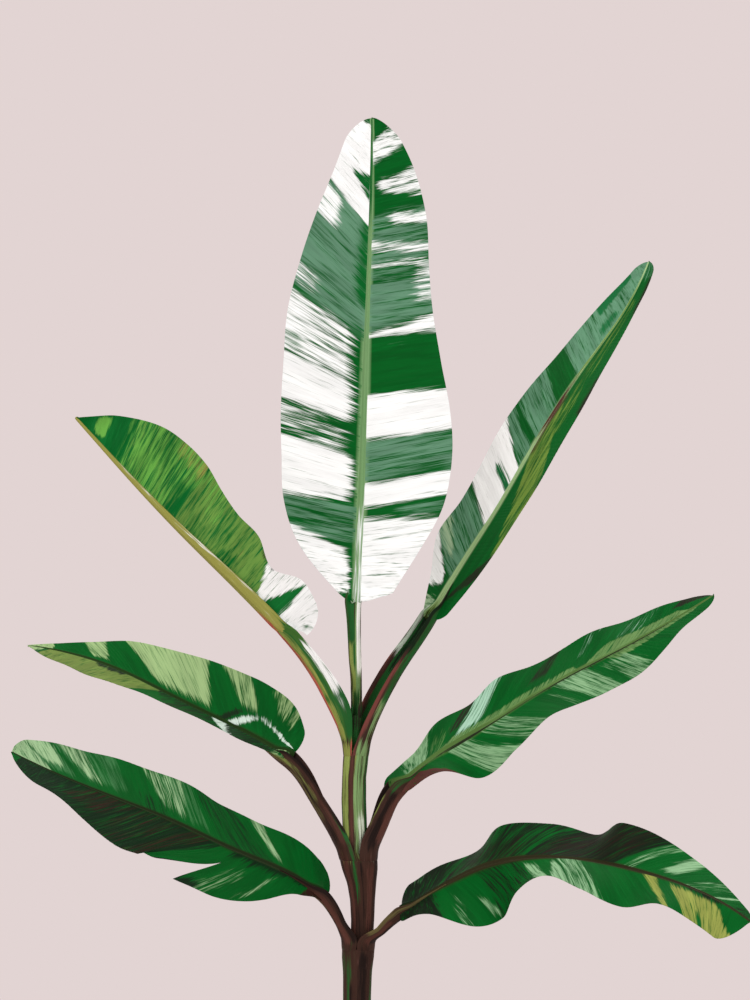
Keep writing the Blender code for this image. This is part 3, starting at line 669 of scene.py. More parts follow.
def vein_place(leaf, side, start, share, flap):
    """Along and away for places on the veins, from midrib 0 to margin 1."""
    reach = vein_reach(leaf, side, start)
    width = half_width(leaf, side, start + reach)
    if leaf.tear and leaf.tear[0] == side:
        _, station, gap, narrowing = leaf.tear
        past = (start / leaf.blade_length - station) / TEAR_PULL
        pull = np.clip((share - TEAR_ROOT_SHARE) / (1 - TEAR_ROOT_SHARE), 0, 1)
        opening = np.where((past >= 0) & (past < 1) & ~flap, (1 - past) * pull, 0.0)
        reach = reach + gap * opening
        width = width * mix(1.0, narrowing, opening)
        hanging = np.where((past < 0) | flap, np.clip(1 + past * FLAP_FADE, 0, 1) * pull, 0.0)
        reach = reach + FLAP_REACH * hanging
    rib = np.minimum(rib_half(leaf, start), RIB_SHARE_OF_WIDTH * width)
    lobe = leaf.lobe[side] * share ** 4 * np.maximum(1 - start / leaf.base_round, 0.0)
    return start + reach * share - lobe, mix(rib, width, share), rib


# Meshes ------------------------------------------------------------------------------------
def deselect():
    """Leave edit mode, with nothing selected."""
    if bpy.context.object and bpy.context.object.mode != "OBJECT":
        bpy.ops.object.mode_set(mode="OBJECT")
    bpy.ops.object.select_all(action="DESELECT")


def coordinates(mesh):
    """A mesh's vertices as an array."""
    places = np.empty(len(mesh.vertices) * 3)
    mesh.vertices.foreach_get("co", places)
    return places.reshape(-1, 3)


def place_vertices(mesh, places):
    mesh.vertices.foreach_set("co", np.ascontiguousarray(places, dtype=np.float64).ravel())
    mesh.update()


def edge_ends(mesh):
    """The two vertices of each edge."""
    ends = np.empty(len(mesh.edges) * 2, dtype=np.int64)
    mesh.edges.foreach_get("vertices", ends)
    return ends.reshape(-1, 2)


def corner_vertices(mesh):
    """The vertex at each corner of the faces."""
    corners = np.empty(len(mesh.loops), dtype=np.int64)
    mesh.loops.foreach_get("vertex_index", corners)
    return corners


def select_edges(piece, chosen):
    """Go into edit mode with nothing but the chosen edges selected."""
    bpy.ops.object.mode_set(mode="EDIT")
    bpy.ops.mesh.select_mode(type="EDGE")
    bpy.ops.mesh.select_all(action="DESELECT")
    bpy.ops.object.mode_set(mode="OBJECT")
    piece.data.edges.foreach_set("select", chosen)
    bpy.ops.object.mode_set(mode="EDIT")


def face_outwards(weld=0.0):
    """Turn all faces of the active piece outwards, once vertices that meet are joined."""
    bpy.ops.object.mode_set(mode="EDIT")
    bpy.ops.mesh.select_all(action="SELECT")
    if weld:
        bpy.ops.mesh.remove_doubles(threshold=weld)
    bpy.ops.mesh.normals_make_consistent(inside=False)
    bpy.ops.object.mode_set(mode="OBJECT")


def write_layers(mesh, layers):
    """Keep for each vertex how fully each tone covers it, for the material to read."""
    for name, values in layers.items():
        layer = mesh.attributes.new(name, "FLOAT", "POINT")
        layer.data.foreach_set("value", np.ascontiguousarray(values, dtype=np.float32))


def write_grain(mesh, lengthwise, crosswise, other=None):
    """A map of the surface, along and across the grain, and another one for some places."""
    while mesh.uv_layers:
        mesh.uv_layers.remove(mesh.uv_layers[0])
    layer = mesh.uv_layers.new(name="grain")
    corners = corner_vertices(mesh)
    flat = np.stack([lengthwise[corners], crosswise[corners]], -1)
    if other:
        there, other_lengthwise, other_crosswise = other
        whole = there[corners].reshape(-1, 4).all(1).repeat(4)
        turned = np.stack([other_lengthwise[corners], other_crosswise[corners]], -1)
        flat = np.where(whole[:, None], turned, flat)
    layer.data.foreach_set("uv", np.ascontiguousarray(flat, dtype=np.float32).ravel())


def finish_piece(piece, node, material, sharp=40.0):
    """Shade a piece, give it its material, and fit it in place of its solid."""
    deselect()
    piece.select_set(True)
    bpy.context.view_layer.objects.active = piece
    bpy.ops.object.shade_smooth_by_angle(angle=math.radians(sharp))
    piece.data.materials.clear()
    piece.data.materials.append(material)
    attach(piece, BODY)
    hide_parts(node)


def smooth_noise(places, seed):
    """Gentle ups and downs along a line, -1 to 1, the same at each run."""
    values = np.random.default_rng(seed).uniform(-1, 1, 4096)
    index = np.floor(places).astype(int)
    part = ease(places - index)
    return mix(values[index % len(values)], values[(index + 1) % len(values)], part)


def places_round(middle_x, middle_y, radius, turn, height):
    """Places round an upright middle line."""
    return np.stack([middle_x + radius * np.cos(turn), middle_y + radius * np.sin(turn), height],
                    -1)


# Bands of tone -----------------------------------------------------------------------------
def no_tones(count):
    """Nothing covered yet by any tone."""
    return {tone: np.zeros(count) for tone in TONES}


def each_band(bands):
    """Tone and numbers of each band."""
    return [(tone, band) for tone, listed in bands.items() for band in listed]


def within(inside, edge):
    """1 well inside an edge and 0 outside it, fading over the edge's width."""
    return np.clip(0.5 + inside / edge, 0, 1)


def band_cover(band, start, share):
    """How fully a band covers places on half a blade."""
    rib_from, rib_to, margin_from, margin_to, strength, *reach = band
    inner, outer, softness = (*reach, *(0, 1, 1)[len(reach):])
    cover = within(np.minimum(start - mix(rib_from, margin_from, share),
                              mix(rib_to, margin_to, share) - start), BAND_EDGE * softness)
    if inner > 0:
        cover = cover * within(share - inner, BAND_FADE * softness)
    if outer < 1:
        cover = cover * within(outer - share, BAND_FADE * softness)
    return cover * strength


def round_cover(band, along, around):
    """How fully a band covers places on a stalk or a midrib."""
    low, high, strength, from_side, to_side = band
    cover = within(np.minimum(along - low, high - along), ROUND_EDGE)
    cover = cover * within(np.minimum(around - from_side, to_side - around), ROUND_FADE)
    return cover * strength


# Blades ------------------------------------------------------------------------------------
def blade_starts(leaf):
    """Starts of the rows of faces, closer together at the rounded ends, and the torn row."""
    spacing = settings().blades.row_spacing
    tip_start = leaf.blade_length - leaf.tip_round
    base = leaf.base_round * (1 - np.cos(np.linspace(0, math.pi / 2, BASE_ROWS)[:-1]))
    tip = leaf.blade_length - leaf.tip_round * (1 - np.sin(np.linspace(0, math.pi / 2, TIP_ROWS)))
    count = round((tip_start - leaf.base_round) / spacing)
    middle = np.linspace(leaf.base_round, tip_start, count, endpoint=False)
    starts = np.concatenate([base, middle, tip])
    if not leaf.tear:
        return starts, None
    torn = leaf.tear[1] * leaf.blade_length
    torn_row = np.abs(starts - torn).argmin()
    starts[torn_row] = torn
    return starts, torn_row


def lay_sheet(leaf):
    """A flat sheet for a blade, parted along its torn vein, and each vertex's place on it."""
    sizes = settings().blades
    starts, torn_row = blade_starts(leaf)
    rows, half = len(starts) - 1, sizes.half_columns
    deselect()
    bpy.ops.mesh.primitive_grid_add(x_subdivisions=2 * half, y_subdivisions=rows, size=2)
    sheet = bpy.context.object
    sheet.name = sheet.data.name = leaf.name + "_blade"

    def cells():
        """Row and column of each vertex."""
        places = coordinates(sheet.data)
        return (np.rint((places[:, 1] + 1) / 2 * rows).astype(int),
                np.rint(places[:, 0] * half).astype(int))

    row, column = cells()
    flap = np.zeros(len(row), dtype=bool)
    if torn_row is not None:
        root = sizes.rib_columns + round(TEAR_ROOT_SHARE * (half - sizes.rib_columns))
        ends = edge_ends(sheet.data)
        select_edges(sheet, (row[ends] == torn_row).all(1)
                     & (column[ends] * leaf.tear[0] >= root).all(1))
        bpy.ops.mesh.edge_split(type="EDGE")
        bpy.ops.object.mode_set(mode="OBJECT")
        row, column = cells()
        faces = corner_vertices(sheet.data).reshape(-1, 4)
        flap = np.zeros(len(row), dtype=bool)
        flap[faces[row[faces].max(1) <= torn_row]] = True
        flap &= row == torn_row
    return sheet, starts[row], column, flap


def make_blade(leaf, line):
    """A veined blade: a sheet laid along the leaf's rule, then thickened."""
    sizes = settings().blades
    blade, start, column, flap = lay_sheet(leaf)
    mesh = blade.data
    away = np.abs(column)
    share = np.clip((away - sizes.rib_columns) / (sizes.half_columns - sizes.rib_columns), 0, 1)
    across_rib = np.clip(away / sizes.rib_columns, 0, 1)
    points = np.empty((len(start), 3))
    depth, ribs_away = np.empty((2, len(start)))
    for side in (-1, 1):
        here = column * side >= 0
        points[here], depth[here], ribs_away[here] = half_blade(
            leaf, line, side, start[here], share[here], across_rib[here], flap[here])
    place_vertices(mesh, points)
    start_across = BLADE_START + LEAVES.index(leaf)
    lengthwise = (away <= sizes.rib_columns) | (column * leaf.long_grain > 0)
    write_grain(mesh, share * np.sign(column), start + start_across,
                (lengthwise, start / GRAIN_LENGTH,
                 column * GRAIN_COLUMN + start_across + RIB_START))
    write_layers(mesh, blade_tones(leaf, start / leaf.blade_length, column, share, across_rib,
                                   ribs_away))
    group = blade.vertex_groups.new(name="depth")
    levels = np.rint(depth / depth.max() * DEPTH_LEVELS)
    for level in np.unique(levels):
        members = np.nonzero(levels == level)[0]
        group.add(members.tolist(), level / DEPTH_LEVELS, "REPLACE")
    face_outwards(WELD)
    turn_upwards(blade, line)
    solid = blade.modifiers.new("thickness", "SOLIDIFY")
    solid.thickness = depth.max()
    solid.offset = -1.0
    solid.vertex_group = group.name
    bpy.ops.object.modifier_apply(modifier=solid.name)
    skin = tone_material(leaf.name + "_blade_skin", leaf.tones, leaf.rib_tone, sizes.roughness)
    finish_piece(blade, "blade_" + leaf.name, skin)


def blade_tones(leaf, place, column, share, across_rib, ribs_away):
    """How fully each tone covers places on a blade, the midrib's own tone last."""
    layers = no_tones(len(place))
    for side in (-1, 1):
        here = column * side >= 0
        beside_rib = np.clip((across_rib[here] - RIB_CLEAR) / (1 - RIB_CLEAR), 0, 1)
        for tone, band in each_band(leaf.bands[side]):
            cover = band_cover(band, place[here], share[here]) * beside_rib
            layers[tone][here] = np.maximum(layers[tone][here], cover)
    for tone, band in each_band(leaf.rib_bands):
        cover = round_cover(band, place, across_rib * np.sign(column))
        layers[tone] = np.maximum(layers[tone], np.where(across_rib < 1, cover, 0.0))
    reach = RIB_TONE_RIBS + leaf.rib_spread * place
    layers["rib"] = np.clip((reach - ribs_away) / RIB_TONE_EDGE, 0, 1)
    return layers


def turn_upwards(blade, line):
    """Let the faces of the sheet look up off the leaf."""
    mesh = blade.data
    middle = mesh.polygons[len(mesh.polygons) // 2]
    _, _, _, up = line.frame(np.array([line.leaf.stalk_length + line.leaf.blade_length / 2]))
    if middle.normal.dot(Vector(up[0])) < 0:
        mesh.flip_normals()


def half_blade(leaf, line, side, start, share, across_rib, flap):
    """Points, depths and crosswise places of one half of a blade's upper face."""
    sizes = settings().blades
    length = leaf.blade_length
    along, away, rib = vein_place(leaf, side, start, share, flap)
    away = np.where(across_rib < 1, rib * across_rib, away)
    point, _, right, up = line.frame(leaf.stalk_length + along)
    place = along / length
    lift = np.radians(even(leaf.lift[side], place)) * ease(across_rib)
    cosine, sine = np.cos(lift)[:, None], np.sin(lift)[:, None]
    spread = right * side * cosine + up * sine
    normal = up * cosine - right * side * sine
    wave = leaf.ripple * share ** 2 * ease(place / RIPPLE_START)
    wave = wave * np.sin(2 * math.pi * RIPPLES_PER_BLADE * place + side)
    turns = start / sizes.pleat_width
    drift = smooth_noise(start / PLEAT_DRIFT_RUN, PLEAT_DRIFT_SEED + side) * PLEAT_DRIFT
    height = mix(*PLEAT_HEIGHTS, smooth_noise(turns * PLEAT_HEIGHT_TURNS, PLEAT_HEIGHT_SEED))
    pleat = np.sin(2 * math.pi * (turns + drift)) * height
    fine = np.sin(2 * math.pi * (turns * FINE_PLEATS + drift * 2)) * FINE_PLEAT_HEIGHT
    room = np.clip(np.minimum(start, length - start) / RELIEF_RUN, 0.0, 1.0)
    relief = sizes.pleat_height * (pleat + fine) * room
    relief = relief * np.sin(np.pi * RELIEF_TURN * share ** RELIEF_RISE)
    puffed = (RIB_PUFF * np.exp(-(share / RIB_PUFF_REACH) ** 2) * ease(across_rib) * rib
              / leaf.rib_half)
    offset = wave + relief + rib_relief(across_rib, share, rib) + puffed * room
    wing = (leaf.stalk_depth[1] / 2 - UNDER_BLADE) * (1 - ease(along / WING_RUN))
    raised = wing * across_rib ** 2 * (1 - share) ** 3
    thin = sizes.thickness * mix(1.0, MARGIN_THICKNESS, share)
    keel = mix(leaf.rib_depth * 0.5, KEEL_AT_TIP, ease(place) * 0.5 + place * 0.5)
    keel = keel * mix(KEEL_AT_BASE, 1.0, ease(along / KEEL_RUN))
    bulge = np.sqrt(np.clip(1 - (away / np.maximum(rib * KEEL_RIBS, LEAST_RIB)) ** 2, 0, 1))
    points = point + spread * away[:, None] + normal * offset[:, None] + up * raised[:, None]
    return points, thin + keel * bulge, away / np.maximum(rib, LEAST_RIB)


def rib_relief(across_rib, share, rib):
    """The midrib's upper face: a shallow channel between two low shoulders."""
    in_channel = np.clip(across_rib / CHANNEL_HALF, 0, 1)
    channel = -CHANNEL_DEPTH * rib * np.cos(np.pi / 2 * in_channel) ** 2
    from_shoulder = (across_rib - SHOULDER_PLACE) / SHOULDER_WIDTH
    return channel + SHOULDER_HEIGHT * rib * np.exp(-from_shoulder ** 2) * (share == 0)


# Stalks ------------------------------------------------------------------------------------
def tube(name, sides, rings):
    """A cylinder cut into rings, with the ring and side of each vertex."""
    deselect()
    bpy.ops.mesh.primitive_cylinder_add(vertices=sides, radius=1, depth=1, end_fill_type="NGON")
    made = bpy.context.object
    made.name = made.data.name = name
    height = coordinates(made.data)[:, 2][edge_ends(made.data)]
    select_edges(made, np.abs(height[:, 0] - height[:, 1]) > 0.5)
    bpy.ops.mesh.subdivide(number_cuts=rings - 1)
    bpy.ops.object.mode_set(mode="OBJECT")
    places = coordinates(made.data)
    ring = np.rint((places[:, 2] + 0.5) * rings).astype(int)
    side = np.rint(np.arctan2(places[:, 1], places[:, 0]) / (2 * math.pi) * sides).astype(int)
    return made, ring, side % sides


def stalk_outline(sides):
    """Round a stalk's section: place from the left edge -1 to the right 1, and back or groove."""
    outer = round(sides * BACK_SHARE)
    inner = sides - outer
    return (np.concatenate([np.linspace(-1, 1, outer), np.linspace(1, -1, inner)]),
            np.concatenate([np.zeros(outer), np.ones(inner)]))


def keel_share(leaf):
    """How much of a stalk's depth is left where it ends under the blade."""
    return leaf.rib_depth * 0.5 / leaf.stalk_depth[1]


def stalk_wrap(leaf, side, share):
    """Angle from a stalk's back round to its edge."""
    if leaf.wrap[side]:
        return even(leaf.wrap[side], share)
    return mix(leaf.seat_wrap, STALK_WRAP, ease(share / SEAT_SHARE))


def make_stalk(leaf, line):
    """A grooved stalk with thin edges, from its sheath to its blade."""
    sizes = settings().stem
    run_on = RUN_ON_SHARE * leaf.blade_length
    rings = round((leaf.stalk_length + run_on) / sizes.ring_spacing)
    stalk, ring, side = tube(leaf.name + "_stalk", sizes.stalk_sides, rings)
    around, groove = (values[side] for values in stalk_outline(sizes.stalk_sides))
    run = ring / rings * (leaf.stalk_length + run_on)
    share = np.minimum(run / leaf.stalk_length, 1.0)
    growth = ease(share / SEAT_SHARE)
    thinner = ease((run - leaf.stalk_length) / run_on)
    under_blade = ease((run - leaf.stalk_length) / WING_RUN)
    left = around < 0
    tier, seat_inner, seat_outer = leaf.seat
    seat_wall = seat_outer - seat_inner
    half = mix(mix(*leaf.stalk_half, share), leaf.rib_half * END_HALF, thinner)
    half = half + np.where(left, even(leaf.left_spread, share), 0.0) * (1 - under_blade)
    deep = mix(*leaf.stalk_depth, share)
    back = deep / (1 - math.cos(math.radians(STALK_WRAP)))
    wrap = np.where(left, stalk_wrap(leaf, -1, share), stalk_wrap(leaf, 1, share))
    angle = np.radians(around * mix(wrap, WING_WRAP, under_blade))
    edge = np.sqrt(np.clip(1 - np.abs(around) ** EDGE_POWER, 0, 1))
    wall = mix(EDGE_WALL, 1.0, edge)
    sway = RIDGE_SWAY * smooth_noise(share * RIDGE_WAVES, RIDGE_SEED)
    ridges = RIDGE_HEIGHT * np.sin(around * RIDGE_TURN + sway) * edge

    def face(outer, share_of_wall):
        """Distance from the section's middle to the back outside, or to the groove inside."""
        thick = mix(seat_wall, outer * share_of_wall, growth) * wall
        return mix(seat_outer, outer, growth) + np.where(groove > 0, -thick, ridges)

    point, _, right, up = line.frame(run)
    foot = np.array(leaf.foot)
    seat_reach, below = 0.0, TIERS[-1]
    if tier:
        height, middle_x, middle_y, _ = tier[0]
        seat_reach = float(np.linalg.norm(foot - (middle_x, middle_y, height)))
        below = TIERS[TIERS.index(tier) - 1]
    middle = point + up * mix(seat_reach, back - deep / 2, growth)[:, None]
    places = (middle - up * (face(back, WALL_DEEP) * np.cos(angle))[:, None]
              + right * (face(half, WALL_HALF) * np.sin(angle))[:, None])
    level = ((places - point) * up).sum(-1)
    sunk = mix(level, level * keel_share(leaf) - UNDER_BLADE, thinner)
    sunk = sunk + np.where(left, even(leaf.left_flare, share), 0.0) * np.abs(around) ** 3
    places = places + up * (sunk - level)[:, None]
    seated = math.radians(leaf.heading) - angle
    rim = rim_places(below, run, seated, np.where(groove > 0, seat_wall * wall, 0.0))
    places = mix(places, rim + point - foot, ease(1 - share / SEAT_BLEND)[:, None])
    place_vertices(stalk.data, places)
    write_grain(stalk.data, run / GRAIN_LENGTH,
                around * GRAIN_STALK + STALK_START + LEAVES.index(leaf))
    write_layers(stalk.data, stalk_tones(leaf, below, share, around, groove, seated))
    face_outwards()
    skin = tone_material(leaf.name + "_stalk_skin", {**STEM_TONES, **leaf.stalk_tones},
                         STALK_RIB_TONE, STALK_ROUGHNESS)
    finish_piece(stalk, "stalk_" + leaf.name, skin, sharp=60.0)


def rim_places(below, run, turn, inwards):
    """Places on the rim of the sheath below, sunk into it where the stalk starts."""
    rim = below[-1][0]
    sink = SEAT_SINK * np.clip(1 - run / SEAT_SINK_RUN, 0, 1)
    inside_stem = np.clip(sink - run, 0, None)
    middle_x, middle_y, radius = tier_at(below, rim - inside_stem).T
    radius = radius + SEAT_PROUD - SEAT_INSET * inside_stem / SEAT_SINK - inwards
    return places_round(middle_x, middle_y, radius, turn, rim - sink)


def stalk_tones(leaf, below, share, around, groove, turn):
    """A stalk's tones: those of the sheath below at its foot, then its own."""
    layers = stem_tones(np.full_like(share, below[-1][0] - RIM_TONE_DEPTH), np.degrees(turn))
    rooted = 1 - ease((share - ROOTED_FROM) / ROOTED_RUN)
    for tone in TONES:
        layers[tone] = layers[tone] * rooted
    for tone, band in each_band(leaf.stalk_bands):
        cover = round_cover(band, share, around + GROOVE_PLACE * groove)
        cover = cover * mix(1 - rooted, 1.0, groove)
        layers[tone] = np.maximum(layers[tone], cover)
    layers["rib"] = np.zeros(len(share))
    return layers


# The maroon tone, lighter than the brown ground tone, is partly the stalks' own red-brown and
# partly painted highlight on the stem and stalks.
STEM_TONES = {"base": (60, 41, 34), "green": (34, 92, 42), "dark": (34, 25, 22),
              "maroon": (86, 55, 47), "warm": (138, 156, 82), "pale": (122, 158, 102),
              "cream": (206, 220, 200), "grey": (100, 94, 58)}
STALK_RIB_TONE = (90, 70, 40)
# Pale pinkish painted highlight on the pseudostem's warts, laid through the stem's 'rib' layer.
WART_HIGHLIGHT_TONE = (150, 108, 102)
STALK_ROUGHNESS, STEM_ROUGHNESS = 0.50, 0.55


# Pseudostem --------------------------------------------------------------------------------
def tier_at(tier, height):
    """Middle and radius of one tier at heights, held at its ends."""
    table = np.array(tier)
    return np.stack([np.interp(height, table[:, 0], table[:, k]) for k in (1, 2, 3)], -1)


def stem_at(height):
    """Middle and radius of the whole stem, each tier sloping in to the next."""
    made = tier_at(TIERS[0], height)
    for tier in TIERS[1:]:
        shoulder = np.clip((height - tier[0][0]) / TIER_SLOPE, 0, 1)[:, None]
        made = mix(made, tier_at(tier, height), shoulder)
    return made


def turn_between(angle, middle):
    """Angle in degrees between directions seen from above, 0 to 180."""
    return np.abs((angle - middle + 180) % 360 - 180)


def sheath_cover(angle, height, first, last, top, widening):
    """Where one leaf's sheath wraps the stem, from its top downwards."""
    reach = (last - first) / 2 + widening * np.clip(top - height, 0, None)
    away = turn_between(angle, (first + last) / 2)
    inside = ease(0.5 + (np.minimum(reach, SHEATH_REACH) - away) / SHEATH_EDGE)
    return inside * ease((top + SHEATH_TOP - height) / SHEATH_TOP_RUN)


# Sheaths, outermost last: from and to round the stem in degrees, top, and widening downwards.
SHEATHS = (
    (0, 300, .556, 0), (248, 513, .506, 60), (105, 247, .506, 60), (272, 444, .376, 150),
    (88, 265, .376, 150), (267, 385, .264, 300), (162, 262, .264, 250), (35, 155, .17, 900),
    (210, 350, .12, 900),
)

# Tones of the pseudostem: from and to in height, how fully, and the middle and half-width of
# each band's sweep round the stem in degrees.
STEM_BANDS = dict(
    green=[(-.1, .262, .46, 205, 36), (-.1, .25, .5, 345, 18), (.225, .262, .45, 235, 14),
        (.325, .385, .85, 252, 7), (.376, .47, .7, 186, 16), (.465, .495, .7, 302, 8),
        (.4, .52, .7, 344, 20), (.512, .6, .9, 270, 90), (-.1, .24, .45, 118, 16),
        (.3, .385, .5, 62, 10), (.38, .52, .7, 84, 18)],
    dark=[(-.1, .262, .75, 292, 22), (-.1, .22, .7, 244, 10), (.3, .375, .7, 275, 9),
        (.27, .385, .7, 344, 16), (.265, .32, .55, 240, 40), (.376, .45, .45, 252, 9),
        (.535, .6, .7, 270, 90), (-.1, .262, .6, 62, 14)],
    # The maroon bands lay painted highlights on the dark brown stem.
    maroon=[(.235, .262, .45, 270, 14), (.27, .385, .75, 222, 16), (.28, .376, .65, 306, 20),
        (.39, .52, .9, 256, 9), (.27, .385, .7, 96, 26)],
    pale=[(.382, .52, .8, 298, 32)],
    warm=[(.376, .52, .95, 222, 24), (.376, .52, .7, 274, 7), (.376, .52, .7, 128, 16)],
    cream=[(.376, .435, .7, 306, 22)],
)

# Small raised warts on the pseudostem, each with a painted highlight on top: direction in degrees,
# height and radius.
WARTS = (
    (272, .25, .0012), (243, .241, .0011), (303, .244, .0012), (285, .2555, .0013),
    (196, .19, .0011), (312, .164, .0012), (254, .115, .0011), (105, .21, .0012),
    (60, .15, .0011),
)


def stem_tones(height, angle):
    """How fully each tone covers places on the pseudostem."""
    layers = no_tones(len(height))
    for tone, (low, high, strength, middle, spread) in each_band(STEM_BANDS):
        cover = within(np.minimum(height - low, high - height), STEM_EDGE)
        cover = cover * within(spread - turn_between(angle, middle), STEM_FADE)
        layers[tone] = np.maximum(layers[tone], cover * strength)
    return layers


def wart_relief_and_highlight(height, angle, radius):
    """Where the warts stand and where their painted highlight lies, 1 at the top of each."""
    warts_and_highlights = np.zeros(len(height))
    for heading, at_height, size in WARTS:
        aside = np.radians(turn_between(angle, heading)) * radius
        warts_and_highlights = np.maximum(warts_and_highlights, np.exp(-((height - at_height) ** 2 + aside ** 2) / size ** 2))
    return warts_and_highlights


def make_pseudostem():
    """The stem of wrapped sheaths with raised edges and fibres, flat underneath."""
    sizes = settings().stem
    *rims, top = (tier[-1][0] for tier in TIERS)
    rings = round(top / sizes.stem_ring_spacing)
    stem, ring, side = tube("pseudostem_sheaths", sizes.stem_sides, rings)
    levels = np.linspace(0.0, top, rings + 1)
    for rim in rims:
        levels[np.abs(levels - rim).argmin()] = rim
    height = levels[ring]
    angle = side / sizes.stem_sides * 360.0
    turn = np.radians(angle)
    middle_x, middle_y, radius = stem_at(height).T
    raised = sum(sheath_cover(angle, height, *sheath) for sheath in SHEATHS) / 2.0
    from_rim = np.min([np.abs(height - rim) for rim in rims], axis=0)
    step = sizes.sheath_thickness
    swell = step * (raised - SHEATH_LEVEL) * ease(from_rim / RIM_RUN)
    fibres = sum(deep * np.sin(turn * count + sway * smooth_noise(height / run, seed))
                 for deep, count, sway, run, seed in FIBRES)
    warts_and_highlights = wart_relief_and_highlight(height, angle, radius)
    radius = (radius + np.clip(swell, -step, step) + fibres * ease(height / FOOT_RUN)
              + warts_and_highlights * WART_HEIGHT)
    place_vertices(stem.data, places_round(middle_x, middle_y, radius, turn, height))
    write_grain(stem.data, height / GRAIN_LENGTH, turn * GRAIN_STEM + STEM_START)
    # The 'rib' layer here lays the painted highlight on the warts.
    write_layers(stem.data, {**stem_tones(height, angle), "rib": warts_and_highlights})
    face_outwards()
    finish_piece(stem, "pseudostem",
                 tone_material("pseudostem_skin", STEM_TONES, WART_HIGHLIGHT_TONE, STEM_ROUGHNESS))


# Materials ---------------------------------------------------------------------------------
class Nodes:
    """Adds nodes to a new material and joins them."""

    def __init__(self, name):
        self.material = bpy.data.materials.new(name)
        self.material.use_nodes = True
        self.tree = self.material.node_tree
        self.shader = self.tree.nodes["Principled BSDF"]

    def join(self, value, socket):
        """Link a socket, or set it to a plain value."""
        if isinstance(value, bpy.types.NodeSocket):
            self.tree.links.new(value, socket)
        else:
            socket.default_value = value

    def make(self, kind, **inputs):
        """A node with its inputs joined by their names."""
        node = self.tree.nodes.new("ShaderNode" + kind)
        for name, value in inputs.items():
            self.join(value, node.inputs[name])
        return node

    def shade(self, **inputs):
        """The material, once its shader's inputs are joined by their names."""
        for name, value in inputs.items():
            self.join(value, self.shader.inputs[name.replace("_", " ")])
        return self.material

    def math(self, operation, first, second):
        node = self.make("Math")
        node.operation = operation
        self.join(first, node.inputs[0])
        self.join(second, node.inputs[1])
        return node.outputs[0]

    def range(self, value, low, high, to_low, to_high, smooth=False):
        node = self.make("MapRange")
        node.interpolation_type = "SMOOTHSTEP" if smooth else "LINEAR"
        for socket, number in zip(node.inputs[:5], (value, low, high, to_low, to_high)):
            self.join(number, socket)
        return node.outputs[0]

    def blend(self, share, under, over):
        node = self.make("Mix")
        node.data_type = "RGBA"
        for socket, value in ((0, share), (6, under), (7, over)):
            self.join(value, node.inputs[socket])
        return node.outputs[2]

    def layer(self, name):
        node = self.make("Attribute")
        node.attribute_name = name
        return node.outputs["Fac"]

    def swing(self, noise, strength):
        """Noise round 0."""
        return self.math("MULTIPLY", self.math("SUBTRACT", noise, 0.5), strength)

    def streaks(self, grain, along, across, seed, detail):
        """Noise drawn out along the grain."""
        spread = self.make("Mapping", Vector=grain, Scale=(along, 1 / across, 1.0),
                           Location=(seed, seed * 1.7, seed * 3.1))
        return self.make("TexNoise", Scale=1.0, Detail=detail, Roughness=0.6,
                         Vector=spread.outputs[0]).outputs["Fac"]


# Streaks: how many along a unit of the map, their width beside the set one, seed and detail
STREAKS = {
    "broad": (0.8, 3.4, 3.1, 2.0), "wide": (1.3, 1.0, 0.0, 3.0), "shifted": (1.3, 1.0, 7.3, 3.0),
    "narrow": (1.8, 0.8, 13.1, 3.0), "fine": (2.4, 0.22, 19.7, 2.0),
}
# Spans of a noise or a cover, from and to, and what they become
BASE_FIELDS, BASE_FIELDS_SHADE = (0.42, 0.64, 0.0, 0.6), 0.70
BASE_STREAKS = (0.52, 0.72, 0.0, 0.5)
BAND_SPAN = (0.28, 0.76, 0.0, 1.0)
BAND_ABSENT = (0.02, 0.25, 0.0, 1.0)
TONE_FIELDS = (0.38, 0.64, 0.0, 0.7)
TONE_STREAKS = (0.48, 0.74, 0.0, 0.4)
VALUE_SPAN = (0.3, 0.7, 0.92, 1.06)
ROUGH_FROM, ROUGH_LESS, ROUGH_MORE = (0.3, 0.7), 0.05, 0.07
EDGE_SWING, RAGGED_SWING = 1.6, 1.1   # how far streaks and fibres move a band's edge
BUMP_STRENGTH, BUMP_HEIGHT = 0.35, 0.0004
SKIN_SPECULAR = 0.04


